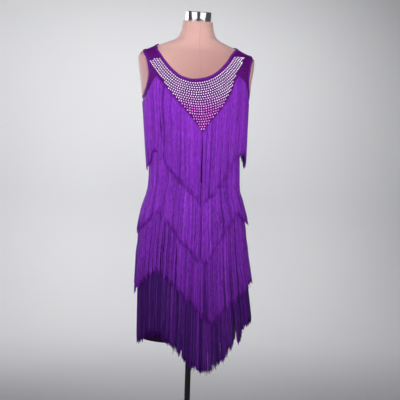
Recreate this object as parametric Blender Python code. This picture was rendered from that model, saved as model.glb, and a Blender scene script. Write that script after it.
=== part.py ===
"""Latin dance dress with four tiers of fringe, on a limbless dress form and its pole stand.

Metres, +Z up, front of the dress towards -Y. The origin is on the floor, under the pole.
Every cloth piece is one surface with a Solidify modifier. A place on the figure is given by
its turn (degrees round the pole, 0 at centre front, 90 at the wearer's left side) and height.
"""

import math
import random

import bmesh
import bpy
import numpy as np
from mathutils import Matrix, Vector

MM = 0.001

# Cloth and fringe thicknesses, and the air left between the layers.
FORM_TO_CLOTH = 1.0 * MM
CLOTH = 1.5 * MM
SEAM_GAP = 0.4 * MM
TRIM_GAP = 0.6 * MM
BINDING = 1.0 * MM
BINDING_WIDTH = 6.5 * MM
CLOTH_TO_FRINGE = 0.8 * MM
FRINGE = 2.6 * MM
TIER_TO_TIER = 1.5 * MM

# Heights above the floor.
HEM = 0.453
FORM_BOTTOM = 0.700
NECK_TOP = 1.480

# Horizontal sections of the padded figure, and of the skirt below it (half width, reach to the
# front and to the back of the pole, and squareness: 2 is an ellipse, more is boxier).
SECTIONS = (
    # height, half_width, front, back, squareness
    (0.400, 0.146, 0.101, 0.104, 2.1),
    (0.453, 0.149, 0.104, 0.107, 2.1),
    (0.560, 0.157, 0.107, 0.111, 2.1),
    (0.640, 0.163, 0.110, 0.115, 2.1),
    (0.700, 0.1665, 0.112, 0.118, 2.15),
    (0.790, 0.1675, 0.113, 0.122, 2.2),
    (0.850, 0.161, 0.111, 0.116, 2.2),
    (0.900, 0.150, 0.106, 0.105, 2.2),
    (0.950, 0.140, 0.099, 0.091, 2.2),
    (1.000, 0.135, 0.094, 0.081, 2.2),
    (1.060, 0.142, 0.098, 0.083, 2.2),
    (1.120, 0.150, 0.102, 0.092, 2.25),
    (1.170, 0.158, 0.106, 0.099, 2.35),
    (1.230, 0.170, 0.104, 0.105, 2.5),
    (1.290, 0.177, 0.091, 0.105, 2.8),
    (1.330, 0.183, 0.078, 0.100, 3.0),
    (1.355, 0.186, 0.066, 0.091, 3.0),
    (1.369, 0.180, 0.058, 0.083, 2.9),
    (1.380, 0.158, 0.052, 0.076, 2.6),
    (1.390, 0.139, 0.049, 0.069, 2.4),
    (1.400, 0.115, 0.0475, 0.063, 2.3),
    (1.408, 0.096, 0.047, 0.058, 2.2),
    (1.416, 0.077, 0.0465, 0.054, 2.1),
    (1.430, 0.061, 0.047, 0.049, 2.0),
    (1.455, 0.0515, 0.0505, 0.043, 2.0),
    (1.480, 0.0480, 0.0540, 0.040, 2.0),
)
# The two rounds of the bust, raised from the sections above.
BUST = {"turn": 27.0, "height": 1.172, "out": 0.019, "turn_spread": 23.0, "height_spread": 0.058}
# The neck leans forward: its top is tilted down to the front.
NECK_TILT = {"from": 1.400, "to": 1.455, "degrees": 14.0, "centre_y": -0.007}

# Neck edge of the dress: height of the scoop at each turn, front and back.
NECKLINE = (
    # turn, height
    (-205.0, 1.336),
    (-180.0, 1.328),
    (-155.0, 1.336),
    (-138.0, 1.350),
    (-123.0, 1.368),
    (-112.0, 1.381),
    (-90.0, 1.396),
    (-76.0, 1.381),
    (-68.0, 1.363),
    (-58.0, 1.333),
    (-47.0, 1.3045),
    (-33.0, 1.283),
    (-17.0, 1.2765),
    (4.0, 1.282),
    (20.0, 1.2925),
    (34.0, 1.3105),
    (49.0, 1.3385),
    (62.0, 1.3675),
    (74.0, 1.386),
    (90.0, 1.398),
    (112.0, 1.381),
    (123.0, 1.368),
    (138.0, 1.350),
    (155.0, 1.336),
    (180.0, 1.328),
    (205.0, 1.336),
)
ARMHOLE = {"middle": 1.290, "bottom": 1.228, "top": 1.3745, "front": 19.0, "back": 17.0}
SPLIT_DIP = 0.060

# Rows of the panels below the armholes, and the numbers of rows above and of columns between.
ROWS = (HEM, 0.58, FORM_BOTTOM, 0.76, 0.82, 0.88, 0.94, 1.00, 1.06, 1.12, 1.16, 1.20)
UPPER_ROWS = 3
PANEL_COLUMNS = 14

# Each tier hangs from a zigzag seam that is low at the centres and the sides and high between.
# For each corner of the zigzag: its turn, the height of the seam and the height of the ends.
# The yoke seam of tier 1 passes under the armholes.
# Steps are the places of a lock's rows between its root (0) and its end (1). Lean and sway are
# how far the ends hang out from, and to the wearer's left of, straight down.
LOW_TIERS_STEPS = (0.30, 0.64, 1.0)
TIERS = (
    {
        "name": "fringe_tier_1",
        "locks": 46,
        "steps": (0.16, 0.36, 0.62, 1.0),
        "lean": -0.0125,
        "sway": 0.0075,
        "corners": (
            (-180.0, 1.150, 0.930),
            (-140.0, 1.255, 1.030),
            (-126.0, 1.290, 1.063),
            (-116.0, 1.285, 1.058),
            (-109.0, 1.240, 1.018),
            (-103.0, 1.218, 1.002),
            (-90.0, 1.210, 1.002),
            (-76.0, 1.220, 1.020),
            (-69.5, 1.243, 1.040),
            (-66.5, 1.262, 1.053),
            (-62.0, 1.283, 1.060),
            (-58.0, 1.271, 1.050),
            (-48.0, 1.239, 1.012),
            (3.0, 1.109, 0.878),
            (45.0, 1.242, 1.000),
            (52.0, 1.280, 1.024),
            (57.0, 1.295, 1.041),
            (63.5, 1.281, 1.060),
            (66.5, 1.265, 1.055),
            (69.5, 1.243, 1.044),
            (76.0, 1.220, 1.024),
            (90.0, 1.210, 1.015),
            (103.0, 1.218, 1.017),
            (109.0, 1.240, 1.028),
            (116.0, 1.285, 1.058),
            (126.0, 1.290, 1.063),
            (140.0, 1.255, 1.030),
            (180.0, 1.150, 0.930),
        ),
    },
    {
        "name": "fringe_tier_2",
        "locks": 46,
        "steps": LOW_TIERS_STEPS,
        "lean": 0.000,
        "sway": 0.006,
        "corners": (
            (-180.0, 0.969, 0.724),
            (-124.0, 1.112, 0.867),
            (-92.0, 1.051, 0.806),
            (-60.0, 1.112, 0.870),
            (8.0, 0.945, 0.698),
            (52.0, 1.106, 0.866),
            (88.0, 1.051, 0.838),
            (124.0, 1.112, 0.867),
            (180.0, 0.969, 0.724),
        ),
    },
    {
        "name": "fringe_tier_3",
        "locks": 48,
        "steps": LOW_TIERS_STEPS,
        "lean": 0.008,
        "sway": 0.003,
        "corners": (
            (-180.0, 0.785, 0.540),
            (-124.0, 0.924, 0.679),
            (-88.0, 0.854, 0.603),
            (-53.0, 0.926, 0.681),
            (19.0, 0.764, 0.518),
            (76.0, 0.896, 0.655),
            (103.0, 0.864, 0.619),
            (130.0, 0.924, 0.679),
            (180.0, 0.785, 0.540),
        ),
    },
    {
        "name": "fringe_tier_4",
        "locks": 50,
        "steps": LOW_TIERS_STEPS,
        "lean": 0.013,
        "sway": 0.016,
        "corners": (
            (-180.0, 0.640, 0.384),
            (-124.0, 0.745, 0.492),
            (-86.0, 0.705, 0.445),
            (-53.0, 0.745, 0.480),
            (-28.0, 0.690, 0.438),
            (-8.0, 0.645, 0.387),
            (15.0, 0.625, 0.368),
            (36.0, 0.660, 0.412),
            (47.0, 0.689, 0.462),
            (54.0, 0.707, 0.476),
            (61.0, 0.719, 0.514),
            (78.0, 0.745, 0.525),
            (104.0, 0.715, 0.478),
            (130.0, 0.745, 0.495),
            (180.0, 0.640, 0.384),
        ),
    },
)
HEADING = 0.011
LOCK_GAP = 2.6 * MM
LOCK_NARROWING = 0.12
LOCK_TIP = 0.50
END_JITTER = 0.008
COVER_BEYOND = 0.025

# Stand.
POLE_RADIUS = 0.0092
BASE_RADIUS = 0.170
BASE_EDGE = 0.006
BASE_CROWN = 0.009
COLLAR_RADIUS = 0.020
COLLAR_HEIGHT = 0.032
FLANGE_RADIUS = 0.036
FLANGE_HEIGHT = 0.026
FIT_GAP = 0.3 * MM

# Neck cap.
CAP_RADIUS = 0.0415
CAP_HEIGHT = 0.030

COLOURS = {
    # name: base colour, metallic, roughness
    "violet_jersey": ((0.19, 0.02, 0.32), 0.0, 0.45),
    "violet_binding": ((0.26, 0.03, 0.42), 0.0, 0.35),
    "violet_fringe": ((0.22, 0.03, 0.45), 0.0, 0.40),
    "form_cover": ((0.72, 0.47, 0.41), 0.0, 0.75),
    "form_arm_cap": ((0.82, 0.62, 0.55), 0.0, 0.6),
    "chrome": ((0.85, 0.85, 0.87), 1.0, 0.12),
    "black_steel": ((0.02, 0.02, 0.022), 0.6, 0.35),
}


def clear_scene():
    for obj in list(bpy.data.objects):
        bpy.data.objects.remove(obj)


def material(name):
    made = bpy.data.materials.get(name)
    if made is None:
        colour, metallic, roughness = COLOURS[name]
        made = bpy.data.materials.new(name)
        made.use_nodes = True
        shader = made.node_tree.nodes["Principled BSDF"]
        shader.inputs["Base Color"].default_value = (*colour, 1.0)
        shader.inputs["Metallic"].default_value = metallic
        shader.inputs["Roughness"].default_value = roughness
    return made


def finish_object(name, bm, material_name, sharp_degrees=50.0):
    """The bmesh becomes a named, smooth-shaded object with its own material."""
    mesh = bpy.data.meshes.new(name)
    bm.to_mesh(mesh)
    bm.free()
    mesh.shade_smooth()
    mesh.set_sharp_from_angle(angle=math.radians(sharp_degrees))
    mesh.materials.append(material(material_name))
    obj = bpy.data.objects.new(name, mesh)
    bpy.context.scene.collection.objects.link(obj)
    return obj


def thicken(obj, thickness):
    """Gives a surface whose faces point out its thickness, on the outer side."""
    wall = obj.modifiers.new("Wall", "SOLIDIFY")
    wall.thickness = thickness
    wall.offset = 1.0
    wall.use_even_offset = True
    return obj


# --- The figure -----------------------------------------------------------------------------


def smooth_table(table, x):
    """A smooth curve through a table's rows (monotone steps stay monotone), at x."""
    keys = [row[0] for row in table]
    values = np.array([row[1:] for row in table], float)
    x = min(max(x, keys[0]), keys[-1])
    i = min(max(int(np.searchsorted(keys, x)) - 1, 0), len(keys) - 2)
    slopes = [
        (values[k + 1] - values[k]) / (keys[k + 1] - keys[k])
        for k in range(max(i - 1, 0), min(i + 2, len(keys) - 1))
    ]
    here = slopes[min(i, 1)]
    before = slopes[0]
    after = slopes[-1]

    def tangent(one, other):
        """Harmonic mean of two slopes, and zero where the curve turns."""
        same_way = one * other > 0
        total = np.where(same_way, one + other, 1.0)
        return np.where(same_way, 2 * one * other / total, 0.0)

    start = tangent(before, here) if i > 0 else here
    end = tangent(here, after) if i < len(keys) - 2 else here
    span = keys[i + 1] - keys[i]
    t = (x - keys[i]) / span
    return (
        (2 * t**3 - 3 * t**2 + 1) * values[i]
        + (t**3 - 2 * t**2 + t) * span * start
        + (3 * t**2 - 2 * t**3) * values[i + 1]
        + (t**3 - t**2) * span * end
    )


SECTION_STEP = 0.001
SECTION_LOW = SECTIONS[0][0]
SECTION_CURVE = np.array(
    [
        smooth_table(SECTIONS, SECTION_LOW + k * SECTION_STEP)
        for k in range(int(round((NECK_TOP - SECTION_LOW) / SECTION_STEP)) + 1)
    ]
)


def section(height):
    """Half width, front reach, back reach and squareness of the figure at a height."""
    place = (height - SECTION_LOW) / SECTION_STEP
    k = min(max(int(place), 0), len(SECTION_CURVE) - 2)
    t = min(max(place - k, 0.0), 1.0)
    return SECTION_CURVE[k] * (1 - t) + SECTION_CURVE[k + 1] * t


def fold_turn(turn):
    """The turn brought to -180 to 180 degrees."""
    return (turn + 180.0) % 360.0 - 180.0


def bust(turn, height):
    rise = math.exp(-(((height - BUST["height"]) / BUST["height_spread"]) ** 2))
    across = sum(
        math.exp(-((fold_turn(turn - side * BUST["turn"]) / BUST["turn_spread"]) ** 2))
        for side in (-1, 1)
    )
    return BUST["out"] * rise * across


def figure_radius(turn, height):
    """Distance of the figure's surface from the pole's axis."""
    half_width, front, back, squareness = section(height)
    angle = math.radians(turn)
    reach = front if math.cos(angle) >= 0 else back
    across = (abs(math.sin(angle)) / half_width) ** squareness
    along = (abs(math.cos(angle)) / reach) ** squareness
    return (across + along) ** (-1 / squareness) + bust(turn, height)


def at_radius(turn, height, radius):
    angle = math.radians(turn)
    return Vector((radius * math.sin(angle), -radius * math.cos(angle), height))


def neck_tilt(point):
    """Tilts what is above the shoulders down towards the front."""
    low, high = NECK_TILT["from"], NECK_TILT["to"]
    share = min(max((point.z - low) / (high - low), 0.0), 1.0)
    drop = math.tan(math.radians(NECK_TILT["degrees"])) * share * share
    lowered = point.copy()
    lowered.z += drop * (point.y - NECK_TILT["centre_y"])
    return lowered


def figure(turn, height):
    return neck_tilt(at_radius(turn, height, figure_radius(turn, height)))


def outward(turn, height):
    """Unit normal of the figure's surface."""
    step_turn, step_height = 0.5, 0.0015
    round_it = figure(turn + step_turn, height) - figure(turn - step_turn, height)
    up = figure(turn, height + step_height) - figure(turn, height - step_height)
    return round_it.cross(up).normalized()


def moved_out(turn, height, distance):
    return figure(turn, height) + outward(turn, height) * distance


# --- Panels and bindings of the dress -------------------------------------------------------

# Clock places round an armhole, from its bottom (0) to its front or back end (90).
ARMHOLE_CLOCK = (0.0, 22.5, 45.0, 67.5, 90.0)
TIP_CLOCK = 80.0


def neck_height(turn):
    return float(smooth_table(NECKLINE, fold_turn(turn))[0])


def width_share(place, towards, along):
    """How far towards one place, from another, is the binding's width across its edge."""
    tangent = (figure(*along[1]) - figure(*along[0])).normalized()
    off = figure(*towards) - figure(*place)
    off -= tangent * off.dot(tangent)
    return BINDING_WIDTH / off.length


def armhole_place(seam, inward, clock, grow=1.0):
    """Turn and height on the armhole's edge, or on the same shape grown."""
    front = (abs(seam) == 90.0) == (inward * seam < 0)
    half = ARMHOLE["front"] if front else ARMHOLE["back"]
    fall = math.cos(math.radians(clock))
    middle = ARMHOLE["middle"]
    rise = middle - ARMHOLE["bottom"] if fall > 0 else ARMHOLE["top"] - middle
    return (
        seam + inward * half * math.sin(math.radians(clock)) * grow,
        middle - rise * fall * grow,
    )


def armhole_outer(seam, inward, clock):
    """The place a binding's width outside the armhole's edge."""
    place = armhole_place(seam, inward, clock)
    along = [armhole_place(seam, inward, clock + step) for step in (-2.0, 2.0)]
    share = width_share(place, armhole_place(seam, inward, clock, 1.1), along)
    return armhole_place(seam, inward, clock, 1.0 + 0.1 * share)


def neck_outer(turn):
    """The place a binding's width below the neck edge, at the same turn."""
    height = neck_height(turn)
    along = [(turn + step, neck_height(turn + step)) for step in (-1.0, 1.0)]
    share = width_share((turn, height), (turn, height - 0.003), along)
    return turn, height - 0.003 * share


def between(one, other, share):
    return tuple(a + (b - a) * share for a, b in zip(one, other))


def column(turn, lower_ends, upper_ends):
    """Places of one column of a panel: up from the hem, and up from the armhole or split."""
    top_row = (turn, ROWS[-1])
    lower = [(turn, height) for height in ROWS]
    lower += [between(top_row, lower_ends[0], 0.5), *lower_ends]
    neck_edge = (turn, neck_height(turn))
    under_neck = neck_outer(turn)
    upper = list(upper_ends)
    for k in range(1, UPPER_ROWS):
        upper.append(between(upper_ends[-1], under_neck, k / UPPER_ROWS))
    return lower, [*upper, under_neck, neck_edge]


def armhole_columns(seam, inward):
    """Columns of a panel beside one armhole, from the side seam inwards."""
    edge = math.degrees(SEAM_GAP / 2 / 0.13)
    columns = []
    for clock in ARMHOLE_CLOCK:
        shift = inward * edge if clock == 0 else 0.0
        outer_clock = TIP_CLOCK if clock == 90.0 else clock
        ends = []
        for low, outer in ((clock, outer_clock), (180.0 - clock, 180.0 - outer_clock)):
            turn, height = armhole_place(seam, inward, low)
            outer_turn, outer_height = armhole_outer(seam, inward, outer)
            ends.append(((turn + shift, height), (outer_turn + shift, outer_height)))
        (low, low_outer), (high, high_outer) = ends
        columns.append(column(low[0], (low_outer, low), (high, high_outer)))
    end = armhole_outer(seam, inward, 90.0)
    columns.append(split_column(end[0], end[1]))
    return columns


def split_column(turn, split):
    """A column clear of the armholes, where the lower and upper rows meet."""
    return column(
        turn, ((turn, split - 0.007), (turn, split)), ((turn, split), (turn, split + 0.006))
    )


def panel_columns(start):
    """All the columns of the front (start -90) or the back (start 90)."""
    first = armhole_columns(start, 1.0)
    last = armhole_columns(start + 180.0, -1.0)[::-1]
    low, high = first[-1][1][0][0], last[0][1][0][0]
    middle = []
    for k in range(1, PANEL_COLUMNS):
        turn = low + (high - low) * k / PANEL_COLUMNS
        inward = min(k, PANEL_COLUMNS - k) / (PANEL_COLUMNS / 2)
        dip = SPLIT_DIP * inward * inward * (3 - 2 * inward)
        middle.append(split_column(turn, ARMHOLE["middle"] - dip))
    return [*first, *middle, *last]


def panel(name, columns):
    """Front or back of the dress: one piece of jersey from the hem to the neck and shoulders."""
    bm = bmesh.new()
    made = []
    for lower, upper in columns:
        low = [bm.verts.new(moved_out(*place, FORM_TO_CLOTH)) for place in lower]
        joined = [low[-1]] if upper[0] == lower[-1] else []
        rest = upper[1:] if joined else upper
        made.append((low, joined + [bm.verts.new(moved_out(*p, FORM_TO_CLOTH)) for p in rest]))
    for one, other in zip(made, made[1:]):
        for left, right in zip(one, other):
            for k in range(len(left) - 1):
                bm.faces.new((left[k], right[k], right[k + 1], left[k + 1]))
    return thicken(finish_object(name, bm, "violet_jersey"), CLOTH)


def binding(name, rims):
    """A closed band over the edge of the panels: rims are pairs of places, on the edge and a
    binding's width in from it, in order round it."""
    lift = FORM_TO_CLOTH + CLOTH + TRIM_GAP
    bm = bmesh.new()
    made = []
    last = None
    for edge, outer in rims:
        shared = made[-1][0] if edge == last else bm.verts.new(moved_out(*edge, lift))
        made.append((shared, bm.verts.new(moved_out(*outer, lift))))
        last = edge
    for one, other in zip(made, made[1:] + made[:1]):
        corners = [one[1], other[1], other[0]]
        if other[0] is not one[0]:
            corners.append(one[0])
        bm.faces.new(corners)
    facing = 0.0
    for face in bm.faces:
        face.normal_update()
        middle = face.calc_center_median()
        facing += face.normal.dot(Vector((middle.x, middle.y, 0.02)))
    if facing < 0:
        bmesh.ops.reverse_faces(bm, faces=bm.faces)
    return thicken(finish_object(name, bm, "violet_binding"), BINDING)


def neck_binding(columns):
    return binding("neck_binding", [(upper[-1], upper[-2]) for _, upper in columns])


def armhole_binding(name, seam):
    """Round one armhole: up its front or back half, and down the other."""
    rims = []
    for inward in (1.0, -1.0):
        half = []
        for clock in ARMHOLE_CLOCK[:-1]:
            half.append((armhole_place(seam, inward, clock), armhole_outer(seam, inward, clock)))
        tip = armhole_place(seam, inward, 90.0)
        for clock in (TIP_CLOCK, 90.0, 180.0 - TIP_CLOCK):
            half.append((tip, armhole_outer(seam, inward, clock)))
        for clock in reversed(ARMHOLE_CLOCK[:-1]):
            clock = 180.0 - clock
            half.append((armhole_place(seam, inward, clock), armhole_outer(seam, inward, clock)))
        rims += half[:-1] if inward > 0 else half[:0:-1]
    return binding(name, rims)


# --- Fringe ---------------------------------------------------------------------------------


def seam_and_ends(tier, turn):
    """Heights of the seam that a tier hangs from, and of its ends, at a turn."""
    corners = np.array(tier["corners"])
    return [float(np.interp(fold_turn(turn), corners[:, 0], corners[:, k])) for k in (1, 2)]


TURN_STEP = 2.0
HEIGHT_STEP = 0.008
GRID_TURNS = np.arange(-180.0, 180.0 + TURN_STEP, TURN_STEP)
GRID_HEIGHTS = np.arange(0.36, 1.36, HEIGHT_STEP)


def cloth_grid():
    """Radius of the outside of the cloth, straight between its rows, at each grid turn and
    height."""
    out = FORM_TO_CLOTH + CLOTH
    grid = []
    for turn in GRID_TURNS:
        true = np.array([figure_radius(turn, z) for z in GRID_HEIGHTS])
        at_rows = [figure_radius(turn, z) for z in ROWS]
        straight = np.interp(GRID_HEIGHTS, ROWS, at_rows)
        grid.append(np.where(GRID_HEIGHTS < ROWS[-1], np.maximum(true, straight), true) + out)
    return np.array(grid)


def read_grid(grid, turn, height):
    """Value between the grid's points."""
    across = (fold_turn(turn) + 180.0) / TURN_STEP
    i = min(int(across), len(GRID_TURNS) - 2)
    up = (height - GRID_HEIGHTS[0]) / HEIGHT_STEP
    k = min(max(int(up), 0), len(GRID_HEIGHTS) - 2)
    s, t = across - i, up - k
    return float(
        grid[i, k] * (1 - s) * (1 - t)
        + grid[i + 1, k] * s * (1 - t)
        + grid[i, k + 1] * (1 - s) * t
        + grid[i + 1, k + 1] * s * t
    )


def seam_run(tier, support):
    """Turns at one degree steps, and the distance along the seam to each of them."""
    fine = np.arange(-200.0, 200.1, 1.0)
    places = []
    for turn in fine:
        seam, _ = seam_and_ends(tier, turn)
        place = at_radius(turn, seam, read_grid(support, turn, seam))
        places.append(Vector((place.x, place.y)))
    run = [0.0]
    for one, other in zip(places, places[1:]):
        run.append(run[-1] + (other - one).length)
    return fine, np.array(run)


def hang(tier, support, turns, heights):
    """Radii of one side of a lock at its rows: it lies on what is below it, and from the
    widest place down it hangs straight, or leaning a little. No straight run between two rows
    may cut into what it lies on. The turns are those of the side and of the lock's middle."""

    def lain(height):
        return max(read_grid(support, turn, height) for turn in turns)

    drop = heights[0] - heights[-1]
    out = tier["lean"] + tier["sway"] * math.sin(math.radians(turns[-1]))
    radii = []
    for height in heights:
        farthest = max(lain(z) for z in np.arange(height, heights[0] + 1e-6, HEIGHT_STEP))
        hung = farthest + out * (heights[0] - height) / drop
        radii.append(max(lain(height), hung))
    for k in range(len(heights) - 1):
        short = 0.0
        for share in np.linspace(0.0, 1.0, 9):
            height = heights[k] + (heights[k + 1] - heights[k]) * share
            straight = radii[k] + (radii[k + 1] - radii[k]) * share
            short = max(short, lain(height) - straight)
        radii[k] += short
        radii[k + 1] += short
    return radii


def tier_locks(tier, support):
    """Each lock's left and right side, as rows of turn, height and radius."""
    draw = random.Random(tier["name"])
    fine, run = seam_run(tier, support)
    first, last = np.interp((-180.0, 180.0), fine, run)
    pitch = (last - first) / tier["locks"]
    half = (pitch - LOCK_GAP) / 2
    locks = []
    for lock in range(tier["locks"]):
        middle = first + (lock + 0.5) * pitch
        ends = seam_and_ends(tier, np.interp(middle, run, fine))[1]
        ends += draw.uniform(-END_JITTER, END_JITTER)
        move = draw.uniform(-0.4, 0.4) * LOCK_GAP
        middle_turn = np.interp(middle, run, fine)
        seams = [np.interp(middle + side * half, run, fine) for side in (-1, 1)]
        tops = [seam_and_ends(tier, turn)[0] for turn in seams]
        root = sum(tops) / 2 - HEADING
        sides = []
        for side, seam, top in zip((-1, 1), seams, tops):
            turns = [seam, seam]
            heights = [top, top - HEADING]
            for step in tier["steps"]:
                share = 1 - LOCK_NARROWING * step if step < 1 else LOCK_TIP
                shift = side * half * share + move * step
                turns.append(np.interp(middle + shift, run, fine))
                heights.append(root + (ends - root) * step)
            radii = hang(tier, support, (seam, middle_turn), heights)
            sides.append([list(row) for row in zip(turns, heights, radii)])
        locks.append(sides)
    for lock, after in zip(locks, locks[1:] + locks[:1]):
        for one, other in zip(lock[1][:2], after[0][:2]):
            one[2] = other[2] = max(one[2], other[2])
    return locks


def cover(support, locks):
    """The support for the next tier up: on top of these locks, where they are."""
    over = FRINGE + TIER_TO_TIER
    raised = support.copy()
    for i, turn in enumerate(GRID_TURNS):
        for lock in locks:
            low, high = lock[0][0][0], lock[1][0][0]
            if abs(fold_turn(turn - (low + high) / 2)) > (high - low) * 0.6:
                continue
            for side in lock:
                _, heights, radii = zip(*side)
                under = np.interp(GRID_HEIGHTS, heights[::-1], radii[::-1]) + over
                there = (GRID_HEIGHTS < heights[0] + COVER_BEYOND) & (
                    GRID_HEIGHTS > heights[-1] - COVER_BEYOND
                )
                raised[i] = np.where(there, np.maximum(raised[i], under), raised[i])
    return raised


def fringe_tier(tier, locks):
    """A sewn-on heading all round the dress, with locks of fringe hanging from it."""
    bm = bmesh.new()
    made = []
    for lock in locks:
        left, right = [[bm.verts.new(at_radius(*row)) for row in side] for side in lock]
        made.append((left, right))
        for k in range(1, len(left)):
            bm.faces.new((left[k], right[k], right[k - 1], left[k - 1]))
    for one, other in zip(made, made[1:] + made[:1]):
        left, right = one[1], other[0]
        bm.faces.new((left[1], right[1], right[0], left[0]))
    return thicken(finish_object(tier["name"], bm, "violet_fringe"), FRINGE)


def fringe():
    """The tiers from the lowest up, each over the cloth and the one below it."""
    cloth = cloth_grid() + CLOTH_TO_FRINGE
    support = cloth
    for tier in reversed(TIERS):
        locks = tier_locks(tier, support)
        fringe_tier(tier, locks)
        support = cover(cloth, locks)


# --- Dress form and stand -------------------------------------------------------------------

ARM_FILL = 3
NECK_FILL = 3
NECK_RINGS = (1.408, 1.417, 1.432, 1.455, NECK_TOP)


def dress_form(columns):
    """The padded torso, from the flat underside to the flat top of the neck. Under the dress
    its points are the dress's own, so that the air between them is the same everywhere."""
    bm = bmesh.new()
    made = []
    for lower, upper in columns:
        turn, neck = upper[-1]
        places = [place for place in lower if place[1] >= FORM_BOTTOM]
        places += [between(lower[-1], upper[0], k / ARM_FILL) for k in range(1, ARM_FILL)]
        places += upper
        ring = NECK_RINGS[0]
        places += [(turn, neck + (ring - neck) * k / NECK_FILL) for k in range(1, NECK_FILL)]
        places += [(turn, height) for height in NECK_RINGS]
        verts = []
        for k, place in enumerate(places):
            same = k > 0 and place == places[k - 1]
            verts.append(verts[-1] if same else bm.verts.new(figure(*place)))
        made.append(verts)
    for left, right in zip(made, made[1:] + made[:1]):
        for k in range(len(left) - 1):
            corners = []
            for vert in (left[k], right[k], right[k + 1], left[k + 1]):
                if vert not in corners:
                    corners.append(vert)
            if len(corners) > 2:
                bm.faces.new(corners)
    bm.faces.new([verts[0] for verts in reversed(made)])
    bm.faces.new([verts[-1] for verts in made])
    return finish_object("dress_form", bm, "form_cover")


ARM_CAP = {"share_of_armhole": 0.93, "clear": 0.0008}
ARM_CAP_SIDES = 20
ARM_CAP_RINGS = (
    # share of the plate, how far out of the form
    (0.40, 0.0032),
    (0.72, 0.0031),
    (0.86, 0.0029),
    (0.95, 0.0026),
    (1.00, 0.0018),
    (1.00, 0.0),
    (0.86, 0.0),
    (0.72, 0.0),
    (0.40, 0.0),
)


def arm_cap(name, side):
    """The low oval plate that closes the form's cut-off arm and nearly fills the armhole."""
    bm = bmesh.new()
    clear = ARM_CAP["clear"]
    centre = side * 90.0, ARMHOLE["middle"]
    rings = []
    for ring_share, out in ARM_CAP_RINGS:
        share = ring_share * ARM_CAP["share_of_armhole"]
        ring = []
        for k in range(ARM_CAP_SIDES):
            angle = 2 * math.pi * k / ARM_CAP_SIDES
            across, up = math.sin(angle), math.cos(angle)
            half = ARMHOLE["front"] if across * side < 0 else ARMHOLE["back"]
            reach = ARMHOLE["top"] - centre[1] if up > 0 else centre[1] - ARMHOLE["bottom"]
            turn = centre[0] + half * across * share
            height = centre[1] + reach * up * share
            ring.append(bm.verts.new(moved_out(turn, height, clear + out)))
        rings.append(ring)
    outer = bm.verts.new(moved_out(*centre, clear + ARM_CAP_RINGS[0][1]))
    inner = bm.verts.new(moved_out(*centre, clear))
    for k in range(ARM_CAP_SIDES):
        after = (k + 1) % ARM_CAP_SIDES
        bm.faces.new((outer, rings[0][k], rings[0][after]))
        bm.faces.new((inner, rings[-1][after], rings[-1][k]))
        for one, other in zip(rings, rings[1:]):
            bm.faces.new((one[k], other[k], other[after], one[after]))
    bmesh.ops.recalc_face_normals(bm, faces=bm.faces)
    return finish_object(name, bm, "form_arm_cap")


def turned(name, profile, segments, material_name):
    """A solid turned round the Z axis from an outline of (radius, height) points."""
    bm = bmesh.new()
    outline = [bm.verts.new((radius, 0.0, height)) for radius, height in profile]
    edges = [bm.edges.new((a, b)) for a, b in zip(outline, outline[1:])]
    bmesh.ops.spin(
        bm,
        geom=outline + edges,
        cent=(0, 0, 0),
        axis=(0, 0, 1),
        angle=2 * math.pi,
        steps=segments,
        use_merge=True,
    )
    bmesh.ops.remove_doubles(bm, verts=bm.verts, dist=1e-5)
    bmesh.ops.recalc_face_normals(bm, faces=bm.faces)
    return finish_object(name, bm, material_name, sharp_degrees=35.0)


def neck_cap():
    """The turned metal cap that stands on the neck, tilted with it."""
    round_off = 0.003
    profile = (
        (0.0, FIT_GAP),
        (CAP_RADIUS, FIT_GAP),
        (CAP_RADIUS, CAP_HEIGHT - round_off),
        (CAP_RADIUS - round_off * 0.3, CAP_HEIGHT - round_off * 0.3),
        (CAP_RADIUS - round_off, CAP_HEIGHT),
        (0.0, CAP_HEIGHT),
    )
    cap = turned("neck_cap", profile, 32, "chrome")
    top = neck_tilt(Vector((0.0, NECK_TILT["centre_y"], NECK_TOP)))
    tilt = Matrix.Rotation(math.radians(NECK_TILT["degrees"]), 4, "X")
    cap.matrix_world = Matrix.Translation(top) @ tilt
    return cap


def stand():
    """Round base plate, the pole that stands on it in a collar, and the flange on the pole's
    top that carries the form."""
    turned(
        "base_plate",
        (
            (0.0, 0.0),
            (BASE_RADIUS - 0.0015, 0.0),
            (BASE_RADIUS, 0.0015),
            (BASE_RADIUS, BASE_EDGE - 0.002),
            (BASE_RADIUS - 0.002, BASE_EDGE),
            (COLLAR_RADIUS + 0.010, BASE_CROWN),
            (0.0, BASE_CROWN),
        ),
        40,
        "black_steel",
    )
    foot = BASE_CROWN + FIT_GAP
    top = FORM_BOTTOM - FIT_GAP
    turned(
        "pole",
        ((0.0, foot), (POLE_RADIUS, foot), (POLE_RADIUS, top), (0.0, top)),
        24,
        "black_steel",
    )
    bore = POLE_RADIUS + FIT_GAP
    turned(
        "base_collar",
        (
            (bore, foot),
            (COLLAR_RADIUS, foot),
            (COLLAR_RADIUS, foot + COLLAR_HEIGHT - 0.002),
            (COLLAR_RADIUS - 0.002, foot + COLLAR_HEIGHT),
            (bore, foot + COLLAR_HEIGHT),
            (bore, foot),
        ),
        24,
        "black_steel",
    )
    sleeve = COLLAR_RADIUS - 0.004
    low = top - FLANGE_HEIGHT
    turned(
        "form_flange",
        (
            (bore, low),
            (sleeve, low),
            (sleeve, top - 0.007),
            (FLANGE_RADIUS, top - 0.004),
            (FLANGE_RADIUS, top),
            (bore, top),
            (bore, low),
        ),
        24,
        "black_steel",
    )


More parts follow.
